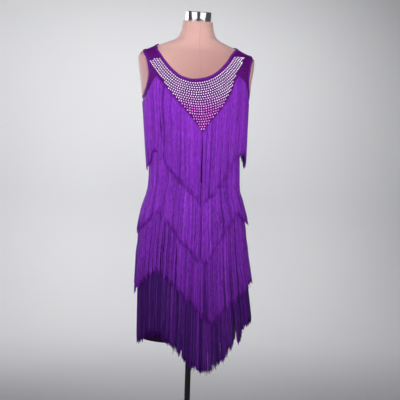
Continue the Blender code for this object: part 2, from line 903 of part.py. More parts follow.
def build():
    clear_scene()
    front, back = panel_columns(-90.0), panel_columns(90.0)
    whole_round = front + back[1:-1]
    dress_form(whole_round)
    arm_cap("arm_cap_left", 1)
    arm_cap("arm_cap_right", -1)
    neck_cap()
    stand()
    panel("dress_front", front)
    panel("dress_back", back)
    neck_binding(whole_round)
    armhole_binding("armhole_binding_left", 90.0)
    armhole_binding("armhole_binding_right", -90.0)
    fringe()


build()
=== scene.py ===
import math

import bmesh
import bpy
import numpy as np
from mathutils import Matrix, Vector


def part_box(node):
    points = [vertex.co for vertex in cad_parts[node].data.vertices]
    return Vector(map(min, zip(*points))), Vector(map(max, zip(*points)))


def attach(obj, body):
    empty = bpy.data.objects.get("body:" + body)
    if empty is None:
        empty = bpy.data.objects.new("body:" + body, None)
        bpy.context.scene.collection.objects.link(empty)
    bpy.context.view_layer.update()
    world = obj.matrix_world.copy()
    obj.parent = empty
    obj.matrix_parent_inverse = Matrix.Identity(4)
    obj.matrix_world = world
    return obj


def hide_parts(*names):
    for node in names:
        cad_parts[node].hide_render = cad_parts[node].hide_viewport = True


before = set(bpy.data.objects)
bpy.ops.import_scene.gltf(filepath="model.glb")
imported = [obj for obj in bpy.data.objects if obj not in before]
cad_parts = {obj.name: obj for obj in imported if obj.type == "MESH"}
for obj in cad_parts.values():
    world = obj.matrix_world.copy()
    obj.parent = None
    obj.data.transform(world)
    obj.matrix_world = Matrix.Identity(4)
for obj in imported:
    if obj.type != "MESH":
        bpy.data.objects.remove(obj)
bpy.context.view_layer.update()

MM = 0.001


# --- Base plate ---
# A heavy round of steel that the whole stand rests on, turned with a low crown and powder
# coated in satin black. A turned groove runs inside its rim.

PLATE_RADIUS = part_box("base_plate")[1][0]
PLATE_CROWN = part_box("base_plate")[1][2]
PLATE_EDGE = 0.006
PLATE_CORNER = 0.002
PLATE_SHOULDER = {"radius": 0.100, "above_edge": 0.0018}
PLATE_FLAT = {"radius": 0.030, "slope": 0.012, "fall": 0.0003}
GROOVE = {"radius": 0.148, "half_width": 0.0012, "depth": 0.0008, "above_edge": 0.0004}
TURNED_SHARP = 30.0


def feed(tree, node, inputs):
    """Plugs or sets a node's inputs, by name or number."""
    for name, value in inputs.items():
        if isinstance(value, bpy.types.NodeSocket):
            tree.links.new(value, node.inputs[name])
        else:
            node.inputs[name].default_value = value
    return node


def wire(tree, kind, inputs=None, **settings):
    """Adds a node to a tree with its own settings, and feeds it."""
    node = tree.nodes.new(kind)
    for name, value in settings.items():
        setattr(node, name, value)
    return feed(tree, node, inputs or {})


def calculate(tree, operation, *values):
    """What a Math node makes of its values."""
    return wire(tree, "ShaderNodeMath", dict(enumerate(values)), operation=operation).outputs[0]


def rescale(tree, value, low, high, to_low=0.0, to_high=1.0):
    """A value taken from one range to another, and held inside it."""
    inputs = {"Value": value, "From Min": low, "From Max": high, "To Min": to_low, "To Max": to_high}
    return wire(tree, "ShaderNodeMapRange", inputs).outputs["Result"]


def mixed(tree, share, one, other, way="MIX"):
    """Two colours brought together."""
    inputs = {"Factor": share, "A": one, "B": other}
    return wire(tree, "ShaderNodeMix", inputs, data_type="RGBA", blend_type=way).outputs["Result"]


def noise(tree, vector, scale, detail, roughness=0.5):
    """Values of a noise texture."""
    inputs = {"Vector": vector, "Scale": scale, "Detail": detail, "Roughness": roughness}
    return wire(tree, "ShaderNodeTexNoise", inputs).outputs["Fac"]


def on_object(tree):
    """Object coordinates."""
    return wire(tree, "ShaderNodeTexCoord").outputs["Object"]


def start_group(name, inputs, outputs):
    """A shader node group with its sockets; gives its tree, its inputs and its output node."""
    tree = bpy.data.node_groups.new(name, "ShaderNodeTree")
    for label, kind, value in inputs:
        socket = tree.interface.new_socket(label, in_out="INPUT", socket_type="NodeSocket" + kind)
        if value is not None:
            socket.default_value = value
    for label, kind in outputs:
        tree.interface.new_socket(label, in_out="OUTPUT", socket_type="NodeSocket" + kind)
    return tree, tree.nodes.new("NodeGroupInput").outputs, tree.nodes.new("NodeGroupOutput")


def start_material(name, **values):
    """A material, with the values that are the same all over it set on its shader."""
    made = bpy.data.materials.new(name)
    made.use_nodes = True
    tree = made.node_tree
    named = {label.replace("_", " "): value for label, value in values.items()}
    return made, tree, feed(tree, tree.nodes["Principled BSDF"], named)


def bump(tree, shader, height, distance, strength=1.0):
    """Gives a material's surface a fine relief, this distance high."""
    inputs = {"Height": height, "Distance": distance, "Strength": strength}
    feed(tree, shader, {"Normal": wire(tree, "ShaderNodeBump", inputs).outputs["Normal"]})


def worn_surface_group():
    """Marks of use on a hard finish: handling haze, fine pitting, and dust on what faces up."""
    tree, given, result = start_group(
        "worn_surface",
        (
            ("Vector", "Vector", None),
            ("Colour", "Color", (0.02, 0.02, 0.02, 1.0)),
            ("Dust Colour", "Color", (0.3, 0.28, 0.26, 1.0)),
            ("Haze Scale", "Float", 14.0),
            ("Dust Amount", "Float", 0.2),
            ("Smooth", "Float", 0.3),
            ("Rough", "Float", 0.5),
        ),
        (("Colour", "Color"), ("Roughness", "Float"), ("Height", "Float")),
    )
    haze = noise(tree, given["Vector"], given["Haze Scale"], 5.0)
    pits = noise(tree, given["Vector"], 900.0, 2.0)
    facing = wire(tree, "ShaderNodeNewGeometry").outputs["Normal"]
    upward = wire(tree, "ShaderNodeSeparateXYZ", {0: facing}).outputs["Z"]
    dusty = calculate(
        tree, "MULTIPLY", rescale(tree, upward, 0.5, 1.0), rescale(tree, haze, 0.35, 0.7)
    )
    amount = calculate(tree, "MULTIPLY", dusty, given["Dust Amount"])
    colour = mixed(tree, amount, given["Colour"], given["Dust Colour"])
    gloss = rescale(tree, haze, 0.3, 0.7, given["Smooth"], given["Rough"])
    feed(tree, result, {"Colour": colour, "Roughness": gloss, "Height": pits})
    return tree


WORN_SURFACE = worn_surface_group()


def wear(tree, shader, values):
    """Colours a hard finish through the worn surface, and gives that group's outputs."""
    inputs = {"Vector": on_object(tree), **values}
    worn = wire(tree, "ShaderNodeGroup", inputs, node_tree=WORN_SURFACE).outputs
    feed(tree, shader, {"Base Color": worn["Colour"], "Roughness": worn["Roughness"]})
    return worn


def powder_coat():
    """Satin black powder coat over steel: fine orange peel, haze and a little dust."""
    made, tree, shader = start_material("black_powder_coat", Specular_IOR_Level=0.3)
    black = {"Colour": (0.012, 0.012, 0.014, 1.0), "Dust Amount": 0.16, "Smooth": 0.26, "Rough": 0.44}
    worn = wear(tree, shader, black)
    bump(tree, shader, worn["Height"], distance=0.00008)
    return made


POWDER_COAT = powder_coat()


def as_object(name, mesh, material, sharp_degrees):
    """The mesh as a smooth-shaded object at the origin, with its material."""
    mesh.shade_smooth()
    if sharp_degrees < 180.0:
        mesh.set_sharp_from_angle(angle=math.radians(sharp_degrees))
    mesh.materials.append(material)
    piece = bpy.data.objects.new(name, mesh)
    bpy.context.scene.collection.objects.link(piece)
    return piece


def finished(name, bm, material, sharp_degrees=60.0):
    """The bmesh as a named object."""
    mesh = bpy.data.meshes.new(name)
    bm.to_mesh(mesh)
    bm.free()
    return as_object(name, mesh, material, sharp_degrees)


def turned(outline, segments):
    """A closed round turned about the pole's axis from points of (radius, height)."""
    bm = bmesh.new()
    points = [bm.verts.new((radius, 0.0, height)) for radius, height in outline]
    edges = [bm.edges.new(pair) for pair in zip(points, points[1:])]
    whole_turn = {"angle": 2 * math.pi, "steps": segments, "use_merge": True}
    bmesh.ops.spin(bm, geom=points + edges, cent=(0, 0, 0), axis=(0, 0, 1), **whole_turn)
    bmesh.ops.remove_doubles(bm, verts=bm.verts, dist=1e-6)
    bmesh.ops.recalc_face_normals(bm, faces=bm.faces)
    return bm


def round_edges(piece, width):
    """Breaks a hard piece's sharp edges with a small radius."""
    edge = piece.modifiers.new("Edges", "BEVEL")
    edge.width = width
    edge.segments = 3
    edge.limit_method = "ANGLE"
    edge.angle_limit = math.radians(TURNED_SHARP)


groove_top = PLATE_EDGE + GROOVE["above_edge"]
plate_outline = (
    (0.0, 0.0),
    (PLATE_RADIUS - PLATE_CORNER, 0.0),
    (PLATE_RADIUS, PLATE_CORNER),
    (PLATE_RADIUS, PLATE_EDGE - PLATE_CORNER),
    (PLATE_RADIUS - PLATE_CORNER, PLATE_EDGE),
    (GROOVE["radius"] + GROOVE["half_width"], groove_top),
    (GROOVE["radius"], groove_top - GROOVE["depth"]),
    (GROOVE["radius"] - GROOVE["half_width"], groove_top),
    (PLATE_SHOULDER["radius"], PLATE_EDGE + PLATE_SHOULDER["above_edge"]),
    (PLATE_FLAT["radius"] + PLATE_FLAT["slope"], PLATE_CROWN - PLATE_FLAT["fall"]),
    (PLATE_FLAT["radius"], PLATE_CROWN),
    (0.0, PLATE_CROWN),
)
plate = finished("stand_base", turned(plate_outline, segments=160), POWDER_COAT, TURNED_SHARP)
round_edges(plate, width=0.0008)
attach(plate, "root")
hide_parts("base_plate")


# --- Collar, pole and flange ---
# The collar is screwed down on the base and grips the pole with a set screw in its side. The
# steel tube of the pole ends in a flange with a sleeve, on which the padded form is fastened.

POLE_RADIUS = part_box("pole")[1][0]
POLE_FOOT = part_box("pole")[0][2]
POLE_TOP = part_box("pole")[1][2]
COLLAR_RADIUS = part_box("base_collar")[1][0]
COLLAR_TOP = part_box("base_collar")[1][2]
COLLAR_FOOT = 0.006
COLLAR_WAIST = 0.0006
COLLAR_CHAMFER = {"in": 0.0028, "down": 0.003}
FIT = 0.3 * MM
SET_SCREW = {"radius": 0.0034, "proud": 0.0030, "height": 0.018, "hex": 0.0017, "depth": 0.0018}
SET_SCREW_TURN = -35.0
FLANGE_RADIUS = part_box("form_flange")[1][0]
FLANGE_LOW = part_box("form_flange")[0][2]
FLANGE_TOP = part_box("form_flange")[1][2]
FLANGE_THICK = 0.004
SLEEVE_RADIUS = COLLAR_RADIUS - 0.004
SLEEVE_FILLET = {"out": 0.0015, "from": 0.008, "to": 0.0062}


def bored_round(name, steps, rounding):
    """A round with a bore for the pole: steps are (radius, height) up its outer side."""
    bore, low, high = POLE_RADIUS + FIT, steps[0][1], steps[-1][1]
    outline = ((bore, low), *steps, (bore, high), (bore, low))
    piece = finished(name, turned(outline, segments=96), POWDER_COAT, TURNED_SHARP)
    round_edges(piece, rounding)
    return piece


def open_edges(bm):
    """Edges with a face on one side only."""
    return [edge for edge in bm.edges if edge.is_boundary]


def picked(result, kind):
    """The new vertices or faces of an extrusion."""
    return [item for item in result["geom"] if isinstance(item, kind)]


collar = bored_round(
    "stand_collar",
    (
        (COLLAR_RADIUS, POLE_FOOT),
        (COLLAR_RADIUS, POLE_FOOT + COLLAR_FOOT),
        (COLLAR_RADIUS - COLLAR_WAIST, POLE_FOOT + COLLAR_FOOT + COLLAR_WAIST),
        (COLLAR_RADIUS - COLLAR_WAIST, COLLAR_TOP - COLLAR_CHAMFER["down"]),
        (COLLAR_RADIUS - COLLAR_CHAMFER["in"], COLLAR_TOP),
    ),
    rounding=0.0004,
)
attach(collar, "root")
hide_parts("base_collar")

hex_radius, hex_depth = SET_SCREW["hex"], SET_SCREW["depth"]
bm = bmesh.new()
bmesh.ops.create_cone(
    bm, cap_ends=True, segments=6, radius1=hex_radius, radius2=hex_radius, depth=hex_depth
)
bmesh.ops.delete(bm, geom=[face for face in bm.faces if face.normal.z > 0.9], context="FACES")
bmesh.ops.reverse_faces(bm, faces=bm.faces)
rim = open_edges(bm)
face_of_screw = Matrix.Translation((0, 0, hex_depth / 2))
head = bmesh.ops.create_circle(
    bm, cap_ends=False, segments=24, radius=SET_SCREW["radius"], matrix=face_of_screw
)
outer = list({edge for vert in head["verts"] for edge in vert.link_edges})
bmesh.ops.bridge_loops(bm, edges=rim + outer)
side = bmesh.ops.extrude_edge_only(bm, edges=open_edges(bm))
lowest = picked(side, bmesh.types.BMVert)
bmesh.ops.translate(bm, verts=lowest, vec=(0, 0, -SET_SCREW["proud"]))
bmesh.ops.holes_fill(bm, edges=open_edges(bm), sides=0)
bmesh.ops.recalc_face_normals(bm, faces=bm.faces)
reach = COLLAR_RADIUS - COLLAR_WAIST + SET_SCREW["proud"] - hex_depth / 2 - FIT
bmesh.ops.transform(
    bm,
    verts=bm.verts,
    matrix=Matrix.Rotation(math.radians(SET_SCREW_TURN), 4, "Z")
    @ Matrix.Translation((0, reach, POLE_FOOT + SET_SCREW["height"]))
    @ Matrix.Rotation(math.radians(-90.0), 4, "X"),
)
set_screw = finished("collar_set_screw", bm, POWDER_COAT, TURNED_SHARP)
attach(set_screw, "root")

pole_outline = (
    (0.0, POLE_FOOT),
    (POLE_RADIUS, POLE_FOOT),
    (POLE_RADIUS, POLE_TOP),
    (0.0, POLE_TOP),
)
pole = finished("stand_pole", turned(pole_outline, segments=64), POWDER_COAT, TURNED_SHARP)
round_edges(pole, width=0.0005)
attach(pole, "root")
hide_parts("pole")

flange = bored_round(
    "form_mount",
    (
        (SLEEVE_RADIUS, FLANGE_LOW),
        (SLEEVE_RADIUS, FLANGE_TOP - SLEEVE_FILLET["from"]),
        (SLEEVE_RADIUS + SLEEVE_FILLET["out"], FLANGE_TOP - SLEEVE_FILLET["to"]),
        (FLANGE_RADIUS, FLANGE_TOP - FLANGE_THICK),
        (FLANGE_RADIUS, FLANGE_TOP),
    ),
    rounding=0.0005,
)
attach(flange, "root")
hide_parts("form_flange")


# --- Padded form ---
# A limbless torso of foam in a close stretch cover. The cover is sewn with a seam down the
# centre front and the centre back, and has slacked into a few soft creases below the neck.

FORM_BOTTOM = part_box("dress_form")[0][2]
NECK_TOP = 1.480
# Rows: height, half width, front, back, squareness.
SECTIONS = (
    (0.400, 0.146, 0.101, 0.104, 2.1), (0.453, 0.149, 0.104, 0.107, 2.1),
    (0.560, 0.157, 0.107, 0.111, 2.1), (0.640, 0.163, 0.110, 0.115, 2.1),
    (0.700, 0.1665, 0.112, 0.118, 2.15), (0.790, 0.1675, 0.113, 0.122, 2.2),
    (0.850, 0.161, 0.111, 0.116, 2.2), (0.900, 0.150, 0.106, 0.105, 2.2),
    (0.950, 0.140, 0.099, 0.091, 2.2), (1.000, 0.135, 0.094, 0.081, 2.2),
    (1.060, 0.142, 0.098, 0.083, 2.2), (1.120, 0.150, 0.102, 0.092, 2.25),
    (1.170, 0.158, 0.106, 0.099, 2.35), (1.230, 0.170, 0.104, 0.105, 2.5),
    (1.290, 0.177, 0.091, 0.105, 2.8), (1.330, 0.183, 0.078, 0.100, 3.0),
    (1.355, 0.186, 0.066, 0.091, 3.0), (1.369, 0.180, 0.058, 0.083, 2.9),
    (1.380, 0.158, 0.052, 0.076, 2.6), (1.390, 0.139, 0.049, 0.069, 2.4),
    (1.400, 0.115, 0.0475, 0.063, 2.3), (1.408, 0.096, 0.047, 0.058, 2.2),
    (1.416, 0.077, 0.0465, 0.054, 2.1), (1.430, 0.061, 0.047, 0.049, 2.0),
    (1.455, 0.0515, 0.0505, 0.043, 2.0), (1.480, 0.0480, 0.0540, 0.040, 2.0),
)
BUST = {"turn": 27.0, "height": 1.172, "out": 0.019, "turn_spread": 23.0, "height_spread": 0.058}
NECK_TILT = {"from": 1.400, "to": 1.455, "degrees": 14.0, "centre_y": -0.007}
# Mean radius of the figure for creases and gaps, and for the lay of the knit.
AROUND = 0.13
FLAT_AROUND = 0.15


def smooth_table(table, x):
    """Values of a smooth curve through a table's rows, at each x; runs that rise stay rising."""
    table = np.array(table, float)
    keys, values = table[:, 0], table[:, 1:]
    x = np.clip(np.asarray(x, float), keys[0], keys[-1])
    slopes = np.diff(values, axis=0) / np.diff(keys)[:, None]
    before, after = slopes[:-1], slopes[1:]
    same_way = before * after > 0
    total = np.where(same_way, before + after, 1.0)
    inner = np.where(same_way, 2 * before * after / total, 0.0)
    tangents = np.vstack([slopes[:1], inner, slopes[-1:]])
    i = np.clip(np.searchsorted(keys, x) - 1, 0, len(keys) - 2)
    span = (keys[i + 1] - keys[i])[..., None]
    t = (x - keys[i])[..., None] / span
    return (
        (2 * t**3 - 3 * t**2 + 1) * values[i]
        + (t**3 - 2 * t**2 + t) * span * tangents[i]
        + (3 * t**2 - 2 * t**3) * values[i + 1]
        + (t**3 - t**2) * span * tangents[i + 1]
    )


def fold_turn(turn):
    """Turns brought to -180 to 180 degrees."""
    return (turn + 180.0) % 360.0 - 180.0


def figure_radius(turn, height):
    """Distance of the figure's surface from the pole's axis, at each turn (degrees, 0 at centre
    front, 90 at the wearer's left side) and height."""
    turn, height = np.broadcast_arrays(np.asarray(turn, float), np.asarray(height, float))
    half_width, front, back, squareness = np.moveaxis(smooth_table(SECTIONS, height), -1, 0)
    angle = np.radians(turn)
    reach = np.where(np.cos(angle) >= 0, front, back)
    across = (np.abs(np.sin(angle)) / half_width) ** squareness
    along = (np.abs(np.cos(angle)) / reach) ** squareness
    rise = np.exp(-(((height - BUST["height"]) / BUST["height_spread"]) ** 2))
    rounds = sum(
        np.exp(-((fold_turn(turn - side * BUST["turn"]) / BUST["turn_spread"]) ** 2))
        for side in (-1, 1)
    )
    return (across + along) ** (-1 / squareness) + BUST["out"] * rise * rounds


def neck_tilt(points):
    """Tilts what is above the shoulders down towards the front."""
    low, high = NECK_TILT["from"], NECK_TILT["to"]
    share = np.clip((points[..., 2] - low) / (high - low), 0.0, 1.0)
    drop = math.tan(math.radians(NECK_TILT["degrees"])) * share * share
    tilted = points.copy()
    tilted[..., 2] += drop * (points[..., 1] - NECK_TILT["centre_y"])
    return tilted


def at_radius(turn, height, radius):
    """Points at a distance from the pole's axis."""
    angle = np.radians(turn)
    height = np.broadcast_to(height, angle.shape)
    return np.stack([radius * np.sin(angle), -radius * np.cos(angle), height], axis=-1)


def figure(turn, height):
    """Points on the figure's surface."""
    turn, height = np.broadcast_arrays(np.asarray(turn, float), np.asarray(height, float))
    return neck_tilt(at_radius(turn, height, figure_radius(turn, height)))


def outward(turn, height):
    """Unit normals of the figure's surface."""
    step_turn, step_height = 0.5, 0.0015
    round_it = figure(turn + step_turn, height) - figure(turn - step_turn, height)
    up = figure(turn, height + step_height) - figure(turn, height - step_height)
    normal = np.cross(round_it, up)
    return normal / np.linalg.norm(normal, axis=-1, keepdims=True)


def moved_out(turn, height, distance):
    """Points at a distance out from the figure, square to it."""
    distance = np.asarray(distance, float)[..., None]
    return figure(turn, height) + outward(turn, height) * distance


def creases(turn, height, lines):
    """Depth of soft creases, in metres: each line runs from one (turn, height) to another, and
    is a trough (minus) or a ridge of its own width and depth, in millimetres."""
    total = np.zeros(np.broadcast(turn, height).shape)
    for (turn_1, height_1), (turn_2, height_2), width, depth in lines:
        middle = (turn_1 + turn_2) / 2
        x = np.radians(fold_turn(turn - middle)) * AROUND
        start = np.array((math.radians(turn_1 - middle) * AROUND, height_1))
        run = np.array((math.radians(turn_2 - middle) * AROUND, height_2)) - start
        length = np.hypot(*run)
        dx, dz = x - start[0], height - start[1]
        along = (dx * run[0] + dz * run[1]) / length**2
        off = (dx * run[1] - dz * run[0]) / length
        taper = np.clip(along, 0, 1) * np.clip(1 - along, 0, 1) * 4
        total += depth * MM * np.exp(-((off / (width * MM)) ** 2)) * taper
    return total


def run_along(line):
    """Distance along a line of points, at each of them."""
    return np.concatenate([[0.0], np.cumsum(np.linalg.norm(np.diff(line, axis=0), axis=1))])


def mapped_grid(columns, rows, points):
    """A grid of faces whose points, row by row, are moved to the given places."""
    bm = bmesh.new()
    bmesh.ops.create_grid(bm, x_segments=columns - 1, y_segments=rows - 1, size=1.0)
    for vert, point in zip(bm.verts, points.reshape(-1, 3)):
        vert.co = point
    return bm


def lay_flat(bm, across, up):
    """A UV map in metres of the cloth."""
    layer = bm.loops.layers.uv.new("cloth")
    across, up = np.ravel(across), np.ravel(up)
    bm.verts.index_update()
    for face in bm.faces:
        for loop in face.loops:
            loop[layer].uv = (across[loop.vert.index], up[loop.vert.index])


def knit_group():
    """Fine weft knit: ribs of small loops side by side, with an uneven yarn."""
    tree, given, result = start_group(
        "fine_knit",
        (("Vector", "Vector", None), ("Rib", "Float", 0.0009), ("Course", "Float", 0.0007)),
        (("Height", "Float"), ("Uneven", "Float")),
    )
    place = wire(tree, "ShaderNodeSeparateXYZ", {0: given["Vector"]}).outputs

    def waves(value, pitch, shift=0.0):
        share = calculate(tree, "ADD", calculate(tree, "DIVIDE", value, pitch), shift)
        return calculate(tree, "SINE", calculate(tree, "MULTIPLY", share, math.tau))

    ribs = waves(place["X"], given["Rib"])
    loops = waves(place["Y"], given["Course"], calculate(tree, "MULTIPLY", ribs, 0.35))
    crossed = calculate(tree, "MULTIPLY_ADD", loops, 0.45, ribs)
    uneven = noise(tree, given["Vector"], 160.0, 4.0)
    height = calculate(tree, "ADD", crossed, uneven)
    feed(tree, result, {"Height": height, "Uneven": uneven})
    return tree


KNIT = knit_group()


def cloth_map(tree):
    """Places on the cloth, in metres."""
    return wire(tree, "ShaderNodeUVMap", uv_map="cloth").outputs["UV"]


def form_cover():
    """Matt stretch cover, a little darker in its sewn seams and uneven where it was handled, with
    painted shade down the chest and towards the wearer's left.
    """
    made, tree, shader = start_material(
        "form_cover_knit", Roughness=0.78, Sheen_Weight=0.25, Sheen_Roughness=0.6
    )
    knit = wire(tree, "ShaderNodeGroup", {"Vector": cloth_map(tree)}, node_tree=KNIT).outputs
    place = on_object(tree)
    patches = noise(tree, place, 9.0, 4.0)
    tint = mixed(tree, patches, (0.52, 0.285, 0.255, 1.0), (0.60, 0.345, 0.31, 1.0))
    # Painted shade: the tint is darkened down the chest and towards the wearer's left, where the light
    # falls off.
    axes = wire(tree, "ShaderNodeSeparateXYZ", {0: place}).outputs
    aslant = calculate(tree, "MULTIPLY_ADD", axes["X"], -0.65, axes["Z"])
    painted_chest_shade = mixed(tree, rescale(tree, aslant, 1.425, 1.29), tint, (0.400, 0.195, 0.180, 1.0))
    seam = wire(tree, "ShaderNodeAttribute", attribute_name="seam").outputs["Fac"]
    sewn = calculate(tree, "MULTIPLY", seam, 0.55)
    feed(tree, shader, {"Base Color": mixed(tree, sewn, painted_chest_shade, (0.34, 0.17, 0.15, 1.0))})
    bump(tree, shader, knit["Height"], distance=0.00012, strength=0.7)
    return made


SEAM_WIDTH = 0.7 * MM
SEAM_DEPTH = 0.7 * MM
# Rows: from, to, width, depth (a trough is minus).
FORM_CREASES = (
    ((14.0, 1.402), (36.0, 1.352), 5.0, -1.3), ((22.0, 1.398), (48.0, 1.366), 4.0, -1.0),
    ((30.0, 1.345), (12.0, 1.322), 5.5, -0.9), ((-20.0, 1.401), (-44.0, 1.362), 5.0, -0.9),
    ((-10.0, 1.372), (-30.0, 1.340), 6.0, -0.7), ((6.0, 1.355), (26.0, 1.316), 6.0, 0.8),
    ((150.0, 1.405), (128.0, 1.378), 5.0, -1.0), ((-152.0, 1.404), (-126.0, 1.374), 5.5, -1.1),
    ((168.0, 1.372), (150.0, 1.352), 5.0, -0.8),
)
FORM_ROWS = 150
FORM_ROUNDING = 0.0022
near_seam = np.array((0.2, 0.45, 0.8, 1.3, 2.1))
by_seams = (near_seam, -near_seam, near_seam - 180, 180 - near_seam)
form_turns = np.unique(np.concatenate([np.arange(-180.0, 181.0, 3.0), *by_seams]))
fine = np.linspace(FORM_BOTTOM, NECK_TOP, 800)
run = sum(run_along(figure(turn, fine)) for turn in (0.0, 60.0, 90.0, 180.0))
form_heights = np.interp(np.linspace(0.0, run[-1], FORM_ROWS), run, fine)
turns, heights = np.meshgrid(form_turns, form_heights)
from_seam = np.radians(np.abs((turns + 90.0) % 180.0 - 90.0)) * figure_radius(turns, heights)
in_seam = np.exp(-((from_seam / SEAM_WIDTH) ** 2))
relief = creases(turns, heights, FORM_CREASES) - SEAM_DEPTH * in_seam
bm = mapped_grid(len(form_turns), FORM_ROWS, moved_out(turns, heights, relief))
lay_flat(bm, np.radians(turns) * FLAT_AROUND, heights)
seam_layer = bm.verts.layers.float.new("seam")
for vert, amount in zip(bm.verts, in_seam.reshape(-1)):
    vert[seam_layer] = amount
bmesh.ops.remove_doubles(bm, verts=bm.verts, dist=1e-5)
bmesh.ops.holes_fill(bm, edges=open_edges(bm), sides=0)
rims = [edge for face in bm.faces if len(face.verts) > 4 for edge in face.edges]
bmesh.ops.bevel(
    bm,
    geom=rims,
    offset=FORM_ROUNDING,
    offset_type="OFFSET",
    affect="EDGES",
    segments=3,
    profile=0.5,
    material=-1,
)
form = finished("padded_form", bm, form_cover())
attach(form, "root")
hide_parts("dress_form")


# --- Neck cap ---
# A spun cap of chromed steel that closes the top of the neck and tilts forward with it. Its edge
# is rolled over, and its top is slightly dished, with fine scratches from polishing.

CAP_RADIUS = 0.0415
CAP_HEIGHT = 0.030
CAP_ROLL = 0.0028
CAP_CORNER = 0.0006
CAP_DISH = {"depth": 0.0006, "rim": 0.006}
CAP_LINE = {"low": 0.0020, "high": 0.0030, "depth": 0.0003}


def chrome():
    """Polished chrome with faint haze and hairline scratches round the cap."""
    made, tree, shader = start_material("polished_chrome", Metallic=1.0)
    stretch = {"Vector": on_object(tree), "Scale": (1.0, 1.0, 30.0)}
    stretched = wire(tree, "ShaderNodeMapping", stretch).outputs["Vector"]
    silver = {"Colour": (0.86, 0.86, 0.88, 1.0), "Haze Scale": 45.0}
    wear(tree, shader, {**silver, "Dust Amount": 0.05, "Smooth": 0.04, "Rough": 0.14})
    bump(tree, shader, noise(tree, stretched, 60.0, 6.0), distance=0.00002, strength=0.5)
    return made


rolled_edge = [
    (CAP_RADIUS - CAP_ROLL * (1 - math.cos(a)), CAP_HEIGHT - CAP_ROLL * (1 - math.sin(a)))
    for a in np.linspace(0.0, math.pi / 2, 7)
]
cap_outline = (
    (0.0, FIT),
    (CAP_RADIUS - CAP_CORNER, FIT),
    (CAP_RADIUS, FIT + CAP_CORNER),
    (CAP_RADIUS, CAP_LINE["low"]),
    (CAP_RADIUS - CAP_LINE["depth"], (CAP_LINE["low"] + CAP_LINE["high"]) / 2),
    (CAP_RADIUS, CAP_LINE["high"]),
    *rolled_edge,
    (CAP_RADIUS - CAP_DISH["rim"], CAP_HEIGHT - CAP_DISH["depth"]),
    (0.0, CAP_HEIGHT - CAP_DISH["depth"]),
)
bm = turned(cap_outline, segments=128)
neck_middle = neck_tilt(np.array((0.0, NECK_TILT["centre_y"], NECK_TOP)))
tilt = Matrix.Rotation(math.radians(NECK_TILT["degrees"]), 4, "X")
bmesh.ops.transform(bm, verts=bm.verts, matrix=Matrix.Translation(neck_middle) @ tilt)
cap = finished("chrome_neck_cap", bm, chrome(), sharp_degrees=40.0)
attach(cap, "root")
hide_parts("neck_cap")


# --- Arm plates ---
# Each cut-off arm is closed by a low oval plate of dusky cloth over thin foam and board, with a
# piped edge. It nearly fills the armhole of the dress.

# An armhole's heights, and its half widths in degrees of turn.
ARMHOLE = {"middle": 1.290, "bottom": 1.228, "top": 1.3745, "front": 19.0, "back": 17.0}
ARM_CAP = {"share_of_armhole": 0.93, "clear": 0.8 * MM}
# Rows: share of the plate, and how far out of the form (mm).
ARM_CAP_PROFILE = (
    (0.000, 3.2), (0.200, 3.2), (0.420, 3.2), (0.620, 3.1), (0.800, 3.0), (0.900, 2.8), (0.940, 2.5),
    (0.955, 2.2), (0.966, 2.6), (0.980, 2.9), (0.993, 2.6), (1.000, 1.8), (0.995, 1.0), (0.990, 0.4),
    (0.985, 0.0), (0.700, 0.0), (0.350, 0.0), (0.000, 0.0),
)
ARM_CAP_SIDES = 96


def arm_cloth():
    """Matt cloth drawn over thin foam, a little faded and rubbed."""
    made, tree, shader = start_material("arm_plate_cloth", Roughness=0.7, Sheen_Weight=0.2)
    place = on_object(tree)
    weave = wire(tree, "ShaderNodeTexVoronoi", {"Vector": place, "Scale": 1100.0})
    patches = noise(tree, place, 14.0, 5.0)
    tint = mixed(tree, patches, (0.43, 0.225, 0.235, 1.0), (0.50, 0.275, 0.285, 1.0))
    feed(tree, shader, {"Base Color": tint})
    bump(tree, shader, weave.outputs["Distance"], distance=0.00012, strength=0.6)
    return made


ARM_CLOTH = arm_cloth()
clock = np.linspace(0.0, 2 * np.pi, ARM_CAP_SIDES + 1)
arm_profile = np.array(ARM_CAP_PROFILE)
around, share = np.meshgrid(clock, arm_profile[:, 0] * ARM_CAP["share_of_armhole"])
across, up = np.cos(around), np.sin(around)
lift = np.repeat(arm_profile[:, 1:] * MM, len(clock), axis=1) + ARM_CAP["clear"]
middle = ARMHOLE["middle"]
reach = np.where(up > 0, ARMHOLE["top"] - middle, middle - ARMHOLE["bottom"])
heights = middle + reach * up * share
for name, node, side in (
    ("arm_plate_left", "arm_cap_left", 1),
    ("arm_plate_right", "arm_cap_right", -1),
):
    half = np.where(across * side < 0, ARMHOLE["front"], ARMHOLE["back"])
    turns = side * 90.0 + half * across * share
    bm = mapped_grid(len(clock), len(arm_profile), moved_out(turns, heights, lift))
    bmesh.ops.remove_doubles(bm, verts=bm.verts, dist=1e-5)
    bmesh.ops.recalc_face_normals(bm, faces=bm.faces)
    arm_plate = finished(name, bm, ARM_CLOTH)
    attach(arm_plate, "root")
    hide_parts(node)


# --- Base dress ---
# Two panels of stretch jersey, a front and a back, close over the form and joined at the sides
# and shoulders. The cloth pulls into soft creases at the straps, under the arms and at the hem.

FORM_TO_CLOTH = 1.0 * MM
CLOTH = 1.5 * MM
SEAM_GAP = 0.4 * MM
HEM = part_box("dress_front")[0][2]
HEM_FOLD = {"height": 0.012, "step": 0.6 * MM, "proud": 0.5 * MM}
FORM_MARGIN = 0.02
LEAST_LIFT = 0.3 * MM
